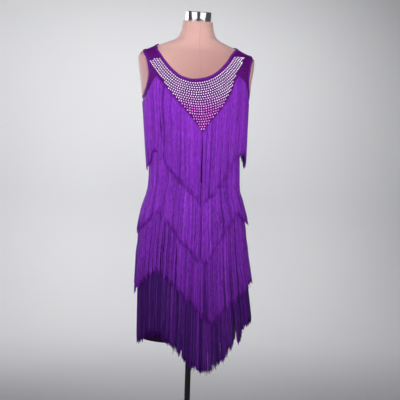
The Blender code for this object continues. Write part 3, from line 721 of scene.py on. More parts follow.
# Rows: turn and height.
NECKLINE = (
    (-205.0, 1.336), (-180.0, 1.328), (-155.0, 1.336), (-138.0, 1.350), (-123.0, 1.368),
    (-112.0, 1.381), (-90.0, 1.396), (-76.0, 1.381), (-68.0, 1.363), (-58.0, 1.333), (-47.0, 1.3045),
    (-33.0, 1.283), (-17.0, 1.2765), (4.0, 1.282), (20.0, 1.2925), (34.0, 1.3105), (49.0, 1.3385),
    (62.0, 1.3675), (74.0, 1.386), (90.0, 1.398), (112.0, 1.381), (123.0, 1.368), (138.0, 1.350),
    (155.0, 1.336), (180.0, 1.328), (205.0, 1.336),
)
SPLIT_DIP = 0.060
LOWER_ROWS = 84
UPPER_ROWS = 22
ARMHOLE_COLUMNS = 15
MIDDLE_COLUMNS = 60
# Rows: from, to, width, depth (a trough is minus).
FRONT_CREASES = (
    ((-66.0, 1.352), (-70.0, 1.235), 5.0, -1.2), ((-63.0, 1.330), (-58.0, 1.262), 4.5, -0.8),
    ((66.0, 1.356), (70.0, 1.240), 5.0, -1.1), ((61.0, 1.322), (54.0, 1.258), 5.0, -0.9),
    ((-86.0, 1.222), (-58.0, 1.188), 7.0, -1.5), ((-88.0, 1.196), (-50.0, 1.150), 8.0, 1.2),
    ((86.0, 1.220), (60.0, 1.176), 7.0, -1.3), ((88.0, 1.188), (52.0, 1.160), 8.0, 1.0),
    ((-80.0, 1.035), (-40.0, 1.010), 7.0, 1.2), ((-76.0, 0.985), (-34.0, 1.002), 7.0, -1.0),
    ((78.0, 1.022), (36.0, 1.004), 7.0, 1.3), ((74.0, 0.972), (40.0, 0.988), 7.0, -0.9),
    ((-62.0, 0.448), (-58.0, 0.660), 11.0, -3.2), ((-38.0, 0.448), (-41.0, 0.610), 9.0, 2.6),
    ((-16.0, 0.448), (-13.0, 0.690), 12.0, -3.6), ((10.0, 0.448), (12.0, 0.600), 9.0, 2.4),
    ((33.0, 0.448), (30.0, 0.670), 11.0, -3.0), ((58.0, 0.448), (63.0, 0.640), 10.0, 2.8),
    ((77.0, 0.448), (74.0, 0.590), 8.0, -2.2), ((-80.0, 0.448), (-84.0, 0.600), 8.0, 2.0),
)
BACK_CREASES = (
    ((112.0, 1.340), (108.0, 1.246), 5.0, -1.1), ((-113.0, 1.344), (-109.0, 1.240), 5.0, -1.2),
    ((96.0, 1.206), (128.0, 1.180), 7.0, -1.4), ((-94.0, 1.210), (-124.0, 1.172), 7.0, -1.3),
    ((100.0, 1.030), (146.0, 1.006), 7.0, 1.3), ((102.0, 0.996), (150.0, 0.985), 8.0, -1.5),
    ((-98.0, 1.024), (-148.0, 1.012), 7.0, 1.2), ((-104.0, 0.976), (-146.0, 0.992), 8.0, -1.3),
    ((152.0, 0.965), (178.0, 0.954), 7.0, 1.1), ((-176.0, 0.448), (-172.0, 0.680), 12.0, -3.4),
    ((156.0, 0.448), (159.0, 0.620), 9.0, 2.6), ((136.0, 0.448), (133.0, 0.650), 11.0, -3.0),
    ((112.0, 0.448), (116.0, 0.600), 9.0, 2.3), ((-150.0, 0.448), (-153.0, 0.640), 10.0, 2.7),
    ((-128.0, 0.448), (-124.0, 0.670), 11.0, -3.3), ((-106.0, 0.448), (-109.0, 0.590), 9.0, 2.2),
)


def neck_height(turn):
    """Height of the neckline at each turn."""
    return smooth_table(NECKLINE, fold_turn(np.asarray(turn, float)))[..., 0]


def jersey(name, low, high, sheen):
    """Stretch jersey of one colour: a fine knit with a soft sheen, darkened towards the hem by
    painted shade under the fringe.
    """
    made, tree, shader = start_material(
        name,
        Roughness=0.55,
        Specular_IOR_Level=0.10,
        Sheen_Weight=sheen,
        Sheen_Roughness=0.35,
        Sheen_Tint=(0.60, 0.10, 1.0, 1.0),
    )
    flat = cloth_map(tree)
    weave = {"Vector": flat, "Rib": 0.0008, "Course": 0.0006}
    knit = wire(tree, "ShaderNodeGroup", weave, node_tree=KNIT).outputs
    both = calculate(tree, "MULTIPLY", noise(tree, flat, 16.0, 5.0), knit["Uneven"])
    tint = mixed(tree, rescale(tree, both, 0.12, 0.40), (*low, 1.0), (*high, 1.0))
    # Painted shade: the colour is darkened down towards the hem, for the shade under the fringe.
    height = wire(tree, "ShaderNodeSeparateXYZ", {0: on_object(tree)}).outputs["Z"]
    painted_hem_shade = rescale(tree, height, 0.62, 1.12, 0.22, 1.0)
    feed(tree, shader, {"Base Color": mixed(tree, 1.0, tint, painted_hem_shade, "MULTIPLY")})
    bump(tree, shader, knit["Height"], distance=0.00012, strength=0.6)
    return made


JERSEY = jersey("violet_jersey", (0.062, 0.0010, 0.100), (0.098, 0.0022, 0.155), sheen=0.03)


def panel_columns(seam, opposite, half):
    """Turns of a panel's columns from one side seam to the other, and at each the heights where
    its lower rows end and its upper rows start: apart at an armhole, and else the same."""
    gap = math.degrees(SEAM_GAP / 2 / AROUND)
    clock = np.radians(np.linspace(0.0, 90.0, ARMHOLE_COLUMNS))
    middle = ARMHOLE["middle"]
    low = middle - (middle - ARMHOLE["bottom"]) * np.cos(clock)
    high = middle + (ARMHOLE["top"] - middle) * np.cos(clock)
    first = seam + half * np.sin(clock)
    first[0] += gap
    last = (opposite - half * np.sin(clock))[::-1]
    last[-1] -= gap
    inner = np.linspace(first[-1], last[0], MIDDLE_COLUMNS + 2)[1:-1]
    share = 1 - np.abs(np.linspace(-1.0, 1.0, MIDDLE_COLUMNS + 2)[1:-1])
    split = middle - SPLIT_DIP * share * share * (3 - 2 * share)
    lower_ends, upper_starts = (np.concatenate([end, split, end[::-1]]) for end in (low, high))
    return np.concatenate([first, inner, last]), lower_ends, upper_starts


def thicken(piece, name, thickness, even):
    """Gives a sheet its thickness, outwards."""
    wall = piece.modifiers.new(name, "SOLIDIFY")
    wall.thickness = thickness
    wall.offset = 1.0
    wall.use_even_offset = even


def panel(name, seam, opposite, half, lines):
    """A panel of the dress from the hem to the neckline and the shoulders."""
    turns, lower_ends, upper_starts = panel_columns(seam, opposite, half)
    up = np.linspace(0.0, 1.0, LOWER_ROWS)[:, None]
    lower = HEM + (lower_ends - HEM) * up
    up = np.linspace(0.0, 1.0, UPPER_ROWS)[:, None]
    upper = upper_starts + (neck_height(turns) - upper_starts) * up
    heights = np.vstack([lower, upper])
    all_turns = np.broadcast_to(turns, heights.shape)
    in_hem = 1 / (1 + np.exp(-(HEM + HEM_FOLD["height"] - heights) / HEM_FOLD["step"]))
    lift = FORM_TO_CLOTH + creases(all_turns, heights, lines) + HEM_FOLD["proud"] * in_hem
    on_form = heights > FORM_BOTTOM - FORM_MARGIN
    lift = np.where(on_form, np.maximum(lift, LEAST_LIFT), lift)
    bm = mapped_grid(len(turns), len(heights), moved_out(all_turns, heights, lift))
    lay_flat(bm, np.radians(all_turns) * FLAT_AROUND, heights)
    bm.verts.ensure_lookup_table()
    below, above = [
        bm.verts[row * len(turns) : (row + 1) * len(turns)] for row in (LOWER_ROWS - 1, LOWER_ROWS)
    ]
    joins = set(below) | set(above)
    between_rows = [face for face in bm.faces if all(vert in joins for vert in face.verts)]
    bmesh.ops.delete(bm, geom=between_rows, context="FACES")
    pairs = [pair for pair in zip(below, above) if (pair[0].co - pair[1].co).length < 1e-5]
    bmesh.ops.remove_doubles(bm, verts=[vert for pair in pairs for vert in pair], dist=1e-5)
    made = finished(name, bm, JERSEY)
    thicken(made, "Cloth", CLOTH, True)
    return made


front = panel("jersey_front", -90.0, 90.0, ARMHOLE["front"], FRONT_CREASES)
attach(front, "root")
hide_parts("dress_front")
back = panel("jersey_back", 90.0, 270.0, ARMHOLE["back"], BACK_CREASES)
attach(back, "root")
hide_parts("dress_back")


# --- Bindings ---
# A strip of the same jersey, folded over the raw edge of the neckline and of each armhole and
# stitched down through all its layers, so that it stands a little proud and shines more. Its colour
# is lighter than the jersey's: a painted highlight of its rolled edge.

BINDING_WIDTH = 6.5 * MM
# Rows: across from the cloth's edge, and out from the form (mm), over the edge and under it.
BINDING_PROFILE = (
    (3.2, 2.75), (6.45, 2.75), (6.65, 3.15), (6.30, 3.70), (5.30, 3.85), (4.20, 4.15), (2.60, 4.25),
    (1.30, 4.10), (0.30, 3.85), (-0.55, 3.30), (-0.95, 2.40), (-0.75, 1.35), (-0.10, 0.70),
    (1.20, 0.40), (3.00, 0.40), (3.10, 0.75), (1.00, 0.80), (-0.05, 1.40), (-0.20, 2.30), (0.40, 2.75),
)
BINDING_OUTSIDE = 3.0 * MM
PUCKER = {"steps": 9, "height": 0.30 * MM}
NECK_STEPS = 540
ARMHOLE_STEPS = 260
# Small steps that show which way a binding's width runs.
SMALL_DROP = 0.003
SMALL_GROWTH = 0.1
# Painted highlight: the binding's jersey is given a lighter colour than the dress's.
BINDING_JERSEY = jersey("violet_binding", (0.085, 0.0025, 0.155), (0.135, 0.0050, 0.24), sheen=0.06)


def width_share(place, towards, before, after):
    """How far from a place towards another lies a binding's width, square to the edge."""
    tangent = figure(*after) - figure(*before)
    tangent /= np.linalg.norm(tangent, axis=-1, keepdims=True)
    off = figure(*towards) - figure(*place)
    off -= tangent * np.sum(off * tangent, axis=-1, keepdims=True)
    return BINDING_WIDTH / np.linalg.norm(off, axis=-1)


def neck_edges():
    """Places round the neckline, and a binding's width below each."""
    turn = np.linspace(-180.0, 180.0, NECK_STEPS + 1)
    height = neck_height(turn)
    share = width_share(
        (turn, height),
        (turn, height - SMALL_DROP),
        (turn - 1.0, neck_height(turn - 1.0)),
        (turn + 1.0, neck_height(turn + 1.0)),
    )
    return (turn, height), (turn, height - SMALL_DROP * share)


def armhole_edges(seam):
    """Places round an armhole, and a binding's width outside each."""
    clock = np.radians(np.linspace(0.0, 360.0, ARMHOLE_STEPS + 1))
    middle = ARMHOLE["middle"]

    def at(clock, grow):
        inward, fall = np.sin(clock), np.cos(clock)
        half = np.where(inward * seam < 0, ARMHOLE["front"], ARMHOLE["back"])
        rise = np.where(fall > 0, middle - ARMHOLE["bottom"], ARMHOLE["top"] - middle)
        return seam + half * inward * grow, middle - rise * fall * grow

    edge, grown = at(clock, 1.0), at(clock, 1.0 + SMALL_GROWTH)
    share = width_share(edge, grown, at(clock - 0.03, 1.0), at(clock + 0.03, 1.0))
    return edge, at(clock, 1.0 + SMALL_GROWTH * share)


def across_edge(edge, outer, across):
    """Places at a distance in from an edge, square to it."""
    share = across / BINDING_WIDTH
    return tuple(a + (b - a) * share for a, b in zip(edge, outer))


def binding(name, edge, outer):
    """A folded strip all round an edge, closed on itself."""
    profile = np.array([*BINDING_PROFILE, BINDING_PROFILE[0]]) * MM
    turns, heights = across_edge(edge, outer, profile[:, :1])
    draw = np.random.default_rng(len(edge[0]))
    steps = PUCKER["steps"]
    uneven = draw.normal(size=len(edge[0]) + steps - 1)
    puckers = np.convolve(uneven, np.ones(steps) / steps, "valid") * PUCKER["height"]
    puckers[-1] = puckers[0]
    top = (profile[:, 1:] > BINDING_OUTSIDE) * 1.0
    lift = profile[:, 1:] + top * puckers
    bm = mapped_grid(turns.shape[1], len(profile), moved_out(turns, heights, lift))
    run, girth = run_along(figure(*edge)), run_along(profile)
    lay_flat(bm, np.tile(run, len(profile)), np.repeat(girth, len(run)))
    bmesh.ops.remove_doubles(bm, verts=bm.verts, dist=1e-6)
    bmesh.ops.recalc_face_normals(bm, faces=bm.faces)
    return finished(name, bm, BINDING_JERSEY)


bound_edges = {
    "neck_binding": ("bound_neckline", neck_edges()),
    "armhole_binding_left": ("bound_armhole_left", armhole_edges(90.0)),
    "armhole_binding_right": ("bound_armhole_right", armhole_edges(-90.0)),
}
for node, (name, (edge, outer)) in bound_edges.items():
    piece = binding(name, edge, outer)
    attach(piece, "root")
    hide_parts(node)


# --- Stitches ---
# Two lines of machine stitches hold each binding down, and two hold the turned-up hem. The
# thread matches the cloth.

STITCH = {"length": 2.3 * MM, "pitch": 3.0 * MM, "thread": 0.24 * MM}
# How far across from the cloth's edge each line runs, and how far out from the form.
STITCH_LIFT = {1.5 * MM: 4.22 * MM, 5.6 * MM: 3.92 * MM}
HEM_LINES = (0.0085, 0.0105)
HEM_LIFT = 0.6 * MM


def thread():
    """Spun polyester thread, with its twist."""
    made, tree, shader = start_material("violet_thread", Roughness=0.5, Sheen_Weight=0.2)
    twist = noise(tree, on_object(tree), 1500.0, 2.0)
    tint = mixed(tree, twist, (0.12, 0.008, 0.26, 1.0), (0.30, 0.04, 0.55, 1.0))
    feed(tree, shader, {"Base Color": tint})
    bump(tree, shader, twist, distance=0.0001, strength=0.5)
    return made


def joined_copies(name, template, points, material, sharp_degrees=180.0):
    """Many copies of a small closed shape in one mesh: points holds, for each copy, the place of
    each of the template's vertices."""
    template.verts.index_update()
    sides = [[vert.index for vert in face.verts] for face in template.faces]
    count = len(template.verts)
    template.free()
    copies = [[k * count + index for index in side] for k in range(len(points)) for side in sides]
    mesh = bpy.data.meshes.new(name)
    mesh.from_pydata(points.reshape(-1, 3).tolist(), [], copies)
    return as_object(name, mesh, material, sharp_degrees)


def set_out(shape, places, axes):
    """The shape's vertices at each of the places, with its x, y and z along three directions."""
    spread = sum(shape[None, :, k, None] * axis[:, None] for k, axis in enumerate(axes))
    return places[:, None] + spread


def unit(ways):
    """Directions brought to a length of 1."""
    return ways / np.linalg.norm(ways, axis=1, keepdims=True)


def spaced(line, pitch):
    """Points at an even pitch along a line of points, and the line's direction at each."""
    run = run_along(line)
    count = max(int(run[-1] / pitch), 1)
    at = (np.arange(count) + 0.5) * run[-1] / count

    def read(x):
        return np.stack([np.interp(x, run, line[:, k]) for k in range(3)], axis=-1)

    return read(at), unit(read(at + 0.4 * MM) - read(at - 0.4 * MM))


stitch_rows = []
for edge, outer in (edges for name, edges in bound_edges.values()):
    for across, lift in STITCH_LIFT.items():
        places = across_edge(edge, outer, across)
        line = moved_out(*places, lift)
        middles, ways = spaced(line, STITCH["pitch"])
        nearest = np.linalg.norm(line[None] - middles[:, None], axis=2).argmin(axis=1)
        stitch_rows.append((middles, ways, unit(middles - moved_out(*places, 0.0)[nearest])))
hem_turns = np.linspace(-180.0, 180.0, 721)
for above in HEM_LINES:
    height = HEM + above
    lines = creases(hem_turns, height, FRONT_CREASES) + creases(hem_turns, height, BACK_CREASES)
    line = moved_out(hem_turns, height, FORM_TO_CLOTH + CLOTH + lines + HEM_LIFT)
    middles, ways = spaced(line, STITCH["pitch"])
    stitch_rows.append((middles, ways, unit(middles * (1.0, 1.0, 0.0))))
middles, ways, outs = (np.vstack(part) for part in zip(*stitch_rows))
bm = bmesh.new()
bmesh.ops.create_icosphere(bm, subdivisions=1, radius=1.0)
shape = np.array([vert.co for vert in bm.verts])
shape = shape * (STITCH["length"] / 2, STITCH["thread"], STITCH["thread"])
points = set_out(shape, middles, (ways, np.cross(outs, ways), outs))
stitches = joined_copies("binding_stitches", bm, points, thread())
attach(stitches, "root")


# --- Fringe ---
# Four tiers of chainette fringe. Each hangs from a narrow braided heading that is sewn round the
# dress along a zigzag, and its strands lie over the cloth or over the tier below.

CLOTH_TO_FRINGE = 0.8 * MM
FRINGE = 2.6 * MM
TIER_TO_TIER = 1.5 * MM
# Loose is how far the strands wander, and shade how much lighter they are (minus is darker); the
# darker third and fourth tiers are painted shade, for the light that falls off down the dress. The
# ends hang out by the lean, and on the wearer's left by the sway, which pulls them in on the
# right. Corners are rows of turn, height of the seam and height of the ends. Slits are rows of
# turn, where along the strands the slit opens, and how wide it is at the ends (mm).
TIERS = (
    {
        "name": "fringe_tier_1",
        "strands": 1900,
        "loose": 0.85,
        "radius": 0.78 * MM,
        "shade": 0.00,
        "lean": -0.0125,
        "sway": 0.0075,
        "corners": (
            (-180.0, 1.150, 0.930), (-140.0, 1.255, 1.030), (-126.0, 1.290, 1.063),
            (-116.0, 1.285, 1.058), (-109.0, 1.240, 1.018), (-103.0, 1.218, 1.002),
            (-90.0, 1.210, 1.002), (-76.0, 1.220, 1.018), (-69.5, 1.243, 1.048), (-66.5, 1.262, 1.056),
            (-62.0, 1.283, 1.050), (-58.0, 1.271, 1.032), (-48.0, 1.239, 1.000), (-20.0, 1.168, 0.931),
            (-4.0, 1.127, 0.906), (3.0, 1.109, 0.886), (20.0, 1.163, 0.916), (45.0, 1.242, 1.000),
            (52.0, 1.280, 1.024), (57.0, 1.295, 1.037), (61.5, 1.286, 1.056), (64.5, 1.276, 1.050),
            (69.5, 1.243, 1.049), (76.0, 1.220, 1.034), (82.0, 1.216, 1.018), (90.0, 1.210, 1.012),
            (96.0, 1.213, 1.036), (103.0, 1.218, 1.055), (109.0, 1.240, 1.066), (116.0, 1.285, 1.072),
            (126.0, 1.290, 1.063), (140.0, 1.255, 1.030), (180.0, 1.150, 0.930),
        ),
        "slits": ((3.4, 0.02, 9.0), (-61.0, 0.5, 4.0), (33.0, 0.6, 3.0), (-150.0, 0.3, 5.0)),
    },
    {
        "name": "fringe_tier_2",
        "strands": 2100,
        "loose": 0.6,
        "radius": 0.78 * MM,
        "shade": 0.00,
        "lean": 0.000,
        "sway": 0.006,
        "corners": (
            (-180.0, 0.969, 0.724), (-124.0, 1.112, 0.867), (-92.0, 1.051, 0.797),
            (-75.0, 1.083, 0.816), (-66.5, 1.100, 0.834), (-60.0, 1.112, 0.853), (-56.0, 1.102, 0.864),
            (-44.0, 1.073, 0.831), (-33.5, 1.047, 0.800), (-25.5, 1.027, 0.772), (8.0, 0.945, 0.698),
            (31.0, 1.030, 0.776), (43.0, 1.073, 0.822), (52.0, 1.106, 0.856), (57.0, 1.098, 0.861),
            (69.0, 1.080, 0.840), (88.0, 1.051, 0.831), (124.0, 1.112, 0.867), (180.0, 0.969, 0.724),
        ),
        "slits": ((3.4, 0.0, 6.0), (10.5, 0.78, 6.0), (-95.0, 0.6, 4.0), (142.0, 0.5, 5.0)),
    },
    {
        "name": "fringe_tier_3",
        "strands": 1900,
        "loose": 0.9,
        "radius": 0.78 * MM,
        "shade": -0.09,
        "lean": 0.008,
        "sway": 0.003,
        "corners": (
            (-180.0, 0.785, 0.540), (-124.0, 0.924, 0.679), (-88.0, 0.854, 0.603),
            (-53.0, 0.926, 0.681), (19.0, 0.764, 0.518), (52.0, 0.885, 0.597), (76.0, 0.896, 0.655),
            (103.0, 0.864, 0.619), (130.0, 0.924, 0.679), (180.0, 0.785, 0.540),
        ),
        "slits": ((-47.5, 0.25, 7.0), (-30.3, 0.35, 7.0), (14.0, 0.6, 3.0), (-140.0, 0.4, 6.0)),
    },
    {
        "name": "fringe_tier_4",
        "strands": 2140,
        "loose": 0.3,
        "radius": 0.95 * MM,
        "shade": -0.40,
        "lean": 0.013,
        "sway": 0.016,
        "corners": (
            (-180.0, 0.640, 0.384), (-124.0, 0.745, 0.492), (-86.0, 0.705, 0.445),
            (-53.0, 0.745, 0.480), (-28.0, 0.690, 0.438), (-8.0, 0.645, 0.387), (15.0, 0.625, 0.368),
            (36.0, 0.660, 0.404), (47.0, 0.689, 0.450), (54.0, 0.707, 0.462), (61.0, 0.719, 0.508),
            (78.0, 0.745, 0.525), (104.0, 0.715, 0.478), (130.0, 0.745, 0.495), (180.0, 0.640, 0.384),
        ),
        "slits": ((50.0, 0.45, 11.0), (-70.0, 0.6, 4.0), (-20.0, 0.7, 4.0), (110.0, 0.5, 7.0)),
    },
)
TURN_STEP = 1.0
HEIGHT_STEP = 0.004
GRID_TURNS = np.arange(-180.0, 180.0 + TURN_STEP, TURN_STEP)
GRID_HEIGHTS = np.arange(0.340, 1.372, HEIGHT_STEP)
COVER_BEYOND = 0.025
STRAND = {"layers": 2, "layer_gap": 1.15 * MM, "tip": 0.6, "drift": 0.9 * MM, "lift": 0.35 * MM}
STRAND_RINGS = (0.0, 0.03, 0.10, 0.20, 0.32, 0.45, 0.58, 0.71, 0.83, 0.94, 1.0)
TUFT = {"strands": 11, "closing": 0.07, "drift": 1.5 * MM, "uneven": 3.0 * MM}
STRAY = {"one_in": 22, "drift": 7.0 * MM, "lift": 1.2 * MM}
WAVE_ACROSS = {"height": 0.45 * MM, "bends": 7.0}
WAVE_OUT = {"height": 0.25 * MM, "bends": 9.0}
# The layer tone paints the inner layer of strands darker and the outer lighter: painted shade and
# light.
TONE = {"middle": 0.45, "tuft": 0.10, "strand": 0.14, "layer": 0.07}
# How the drift and the slits grow down the strands, as powers of the share of their length.
DRIFT_CURVE = 1.3
SLIT_CURVE = 0.8
END_SPREAD = 4.5 * MM
BELOW_SEAM = 2.0 * MM
SLIT_REACH = 0.012
HEADING = {"above": 1.0 * MM, "below": 7.0 * MM, "thickness": 1.3 * MM, "lift": 0.3 * MM, "tone": 0.35}


def ramp(tree, attribute, low, middle_at, middle, high):
    """A colour read off a ramp by an attribute of the piece."""
    share = wire(tree, "ShaderNodeAttribute", attribute_name=attribute).outputs["Fac"]
    tint = wire(tree, "ShaderNodeValToRGB", {"Fac": share})
    stops = tint.color_ramp.elements
    stops[0].color = (*low, 1.0)
    stops[1].color = (*high, 1.0)
    stops.new(middle_at).color = (*middle, 1.0)
    return tint.outputs["Color"]


def mark(piece, name, values):
    """Gives each vertex of a piece the value that its material reads."""
    layer = piece.data.attributes.new(name, "FLOAT", "POINT")
    layer.data.foreach_set("value", values.astype(np.float32))


def chainette():
    """Shiny rayon chainette: every strand its own shade, with painted shade between the loops of the
    chain and painted glints in flecks along the strands.
    """
    made, tree, shader = start_material(
        "violet_chainette",
        Roughness=0.42,
        Specular_IOR_Level=0.18,
        Sheen_Weight=0.06,
        Sheen_Roughness=0.3,
        Sheen_Tint=(0.55, 0.15, 1.0, 1.0),
    )
    violets = ((0.034, 0.0010, 0.115), 0.45, (0.200, 0.0160, 0.435), (0.350, 0.050, 0.70))
    tint = ramp(tree, "tone", *violets)
    place = on_object(tree)
    loops = {"Vector": place, "Scale": 260.0, "Distortion": 3.0, "Detail": 1.0}
    links = wire(tree, "ShaderNodeTexWave", loops, bands_direction="Z").outputs["Fac"]
    stretch = {"Vector": place, "Scale": (1.0, 1.0, 0.12)}
    drawn_out = wire(tree, "ShaderNodeMapping", stretch).outputs["Vector"]
    twist = noise(tree, drawn_out, 420.0, 3.0, 0.7)
    # Painted shade darkens the colour between the chain's loops, and painted glints brighten flecks
    # along the strands.
    shade = rescale(tree, links, 0.0, 1.0, 0.80, 1.0)
    glint = rescale(tree, twist, 0.35, 0.68, 0.66, 1.45)
    light = calculate(tree, "MULTIPLY", shade, glint)
    feed(tree, shader, {"Base Color": mixed(tree, 1.0, tint, light, "MULTIPLY")})
    bump(tree, shader, links, distance=0.0003, strength=0.5)
    return made


CHAINETTE = chainette()


def read_grid(grid, turn, height):
    """Values between the grid's points."""
    across = (fold_turn(turn) + 180.0) / TURN_STEP
    up = (height - GRID_HEIGHTS[0]) / HEIGHT_STEP
    i = np.clip(across.astype(int), 0, len(GRID_TURNS) - 2)
    k = np.clip(up.astype(int), 0, len(GRID_HEIGHTS) - 2)
    s, t = across - i, np.clip(up - k, 0.0, 1.0)
    return (
        grid[i, k] * (1 - s) * (1 - t)
        + grid[i + 1, k] * s * (1 - t)
        + grid[i, k + 1] * (1 - s) * t
        + grid[i + 1, k + 1] * s * t
    )


def seam_and_ends(tier, turn):
    """Heights of the seam that a tier hangs from, and of its ends, at each turn."""
    corners = np.array(tier["corners"])
    return [np.interp(fold_turn(turn), corners[:, 0], corners[:, k]) for k in (1, 2)]


def hung_grid(tier, support):
    """Radius of a tier's inner side at each turn and height: it lies on what is below it, and
    from the widest place down it hangs straight or leans a little."""
    seam, ends = (part[:, None] for part in seam_and_ends(tier, GRID_TURNS))
    below_seam = GRID_HEIGHTS[None] < seam + HEIGHT_STEP
    lain = np.where(below_seam, support, 0.0)
    widest = np.maximum.accumulate(lain[:, ::-1], axis=1)[:, ::-1]
    fall = np.clip((seam - GRID_HEIGHTS[None]) / (seam - ends), 0.0, 1.1)
    out = tier["lean"] + tier["sway"] * np.sin(np.radians(GRID_TURNS))[:, None]
    hung = np.maximum(support, widest + out * fall)
    return np.where(below_seam, hung, support)


def covered(tier, support, hung):
    """The support for the next tier up: on top of this one, where it is."""
    seam, ends = (part[:, None] for part in seam_and_ends(tier, GRID_TURNS))
    there = (GRID_HEIGHTS < seam + COVER_BEYOND) & (GRID_HEIGHTS > ends - COVER_BEYOND)
    return np.where(there, np.maximum(support, hung + FRINGE + TIER_TO_TIER), support)


def seam_turns(tier, support, count):
    """Turns at an even pitch along the seam, seen from above, and that pitch."""
    fine = np.linspace(-180.0, 180.0, 721)
    seam, _ = seam_and_ends(tier, fine)
    run = run_along(at_radius(fine, seam, read_grid(support, fine, seam))[:, :2])
    at = (np.arange(count) + 0.5) * run[-1] / count
    return np.interp(at, run, fine), run[-1] / count


def strand_template():
    """A four-sided strand of radius 1 down from z = 0 to z = -1, cut where it may bend."""
    bm = bmesh.new()
    half_down = Matrix.Translation((0, 0, -0.5))
    bmesh.ops.create_cone(
        bm, cap_ends=True, segments=4, radius1=1.0, radius2=1.0, depth=1.0, matrix=half_down
    )
    for ring in STRAND_RINGS[1:-1]:
        whole = bm.verts[:] + bm.edges[:] + bm.faces[:]
        bmesh.ops.bisect_plane(bm, geom=whole, plane_co=(0, 0, -ring), plane_no=(0, 0, 1))
    return bm


def tier_strands(tier, hung):
    """Places of each strand's points: turn, height, radius, and its shade."""
    draw = np.random.default_rng(sum(ord(letter) for letter in tier["name"]))
    count = tier["strands"]
    roots, pitch = seam_turns(tier, hung, count)
    tuft_of = (np.arange(count) + draw.integers(-2, 3, count)) // TUFT["strands"]
    tufts = tuft_of.max() + 2
    tuft_drift = draw.normal(0.0, TUFT["drift"] * tier["loose"], tufts)[tuft_of]
    tuft_end = draw.normal(0.0, TUFT["uneven"], tufts)[tuft_of]
    tuft_tone = draw.normal(0.0, TONE["tuft"], tufts)[tuft_of]
    within = (np.arange(count) - (tuft_of + 0.5) * TUFT["strands"]) * pitch
    drift = tuft_drift - TUFT["closing"] * tier["loose"] * within
    drift += tier["loose"] * draw.normal(0.0, STRAND["drift"], count)
    stray = draw.integers(0, STRAY["one_in"], count) == 0
    drift += stray * draw.normal(0.0, STRAY["drift"], count)
    seam, ends = seam_and_ends(tier, roots)
    root_radius = read_grid(hung, roots, seam)
    ends = ends + tuft_end + draw.normal(0.0, END_SPREAD, count)
    falls = np.array(STRAND_RINGS)[None]
    heights = seam[:, None] - BELOW_SEAM - (seam - BELOW_SEAM - ends)[:, None] * falls
    shift = drift[:, None] * falls**DRIFT_CURVE
    phase = draw.uniform(0.0, math.tau, (count, 2))
    shift += WAVE_ACROSS["height"] * np.sin(phase[:, :1] + falls * WAVE_ACROSS["bends"]) * falls
    for slit_turn, opens, width in tier["slits"]:
        away = np.radians(fold_turn(roots - slit_turn)) * root_radius
        near = np.exp(-np.abs(away) / SLIT_REACH) * np.sign(away)
        opening = np.clip((falls - opens) / (1 - opens), 0.0, 1.0) ** SLIT_CURVE
        shift += near[:, None] * opening * width * MM / 2
    turns = roots[:, None] + np.degrees(shift / root_radius[:, None])
    layer = np.arange(count) % STRAND["layers"]
    lift = tier["radius"] + layer[:, None] * STRAND["layer_gap"]
    lift = lift + np.abs(draw.normal(0.0, STRAND["lift"], count))[:, None] * falls
    lift = lift + stray[:, None] * STRAY["lift"] * falls
    lift = lift + WAVE_OUT["height"] * np.sin(phase[:, 1:] + falls * WAVE_OUT["bends"]) * falls
    radii = read_grid(hung, turns, heights) + lift
    # Painted shade: each tier's shade darkens the third and fourth tiers, for the light falling off
    # down the dress.
    tone = TONE["middle"] + tier["shade"] + tuft_tone + draw.normal(0.0, TONE["strand"], count)
    # Painted shade and light: the inner layer of strands is painted darker and the outer lighter.
    return turns, heights, radii, np.clip(tone + TONE["layer"] * (layer - 0.5), 0.0, 1.0)


def strand_piece(tier, hung):
    """All the strands of a tier, in one mesh."""
    turns, heights, radii, tone = tier_strands(tier, hung)
    template = strand_template()
    corners = np.array([vert.co for vert in template.verts])
    ring = np.abs(corners[:, 2:] + np.array(STRAND_RINGS)[None]).argmin(axis=1)
    middles = at_radius(turns, heights, radii)[:, ring]
    beside = at_radius(turns + 90.0, 0.0, 1.0)[:, ring]
    out = at_radius(turns, 0.0, 1.0)[:, ring]
    at_tip = (ring == len(STRAND_RINGS) - 1)[None, :, None]
    thick = tier["radius"] * np.where(at_tip, STRAND["tip"], 1.0)
    points = middles + thick * (corners[None, :, :1] * beside + corners[None, :, 1:2] * -out)
    piece = joined_copies(tier["name"] + "_strands", template, points, CHAINETTE)
    mark(piece, "tone", np.repeat(tone, len(corners)))
    return piece


def heading_piece(tier, hung):
    """The braided heading, a closed band along the seam."""
    turn = np.union1d(np.arange(-180.0, 180.5, 1.0), np.array(tier["corners"])[:, 0])
    seam, _ = seam_and_ends(tier, turn)
    down = np.linspace(HEADING["above"], -HEADING["below"], 5)[::-1]
    turns, drops = np.meshgrid(turn, down)
    heights = seam[None] + drops
    radii = read_grid(hung, turns, np.minimum(heights, seam[None])) + HEADING["lift"]
    bm = mapped_grid(len(turn), len(down), at_radius(turns, heights, radii))
    bmesh.ops.remove_doubles(bm, verts=bm.verts, dist=1e-6)
    piece = finished(tier["name"] + "_heading", bm, CHAINETTE)
    mark(piece, "tone", np.full(len(piece.data.vertices), HEADING["tone"]))
    thicken(piece, "Braid", HEADING["thickness"], False)
    return piece


cloth_outside = (
    figure_radius(GRID_TURNS[:, None], GRID_HEIGHTS[None]) + FORM_TO_CLOTH + CLOTH + CLOTH_TO_FRINGE
)
fringes = []
support = cloth_outside
for tier in reversed(TIERS):
    hung = hung_grid(tier, support)
    strands = strand_piece(tier, hung)
    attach(strands, "root")
    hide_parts(tier["name"])
    heading = heading_piece(tier, hung)
    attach(heading, "root")
    fringes += [strands, heading]
    support = covered(tier, cloth_outside, hung)


# --- Rhinestones ---
# Flat-backed glass stones glued on the jersey: six or seven rows follow the neckline over the
# straps, and below them rows of rose stones fill a point down to the fringe's seam.

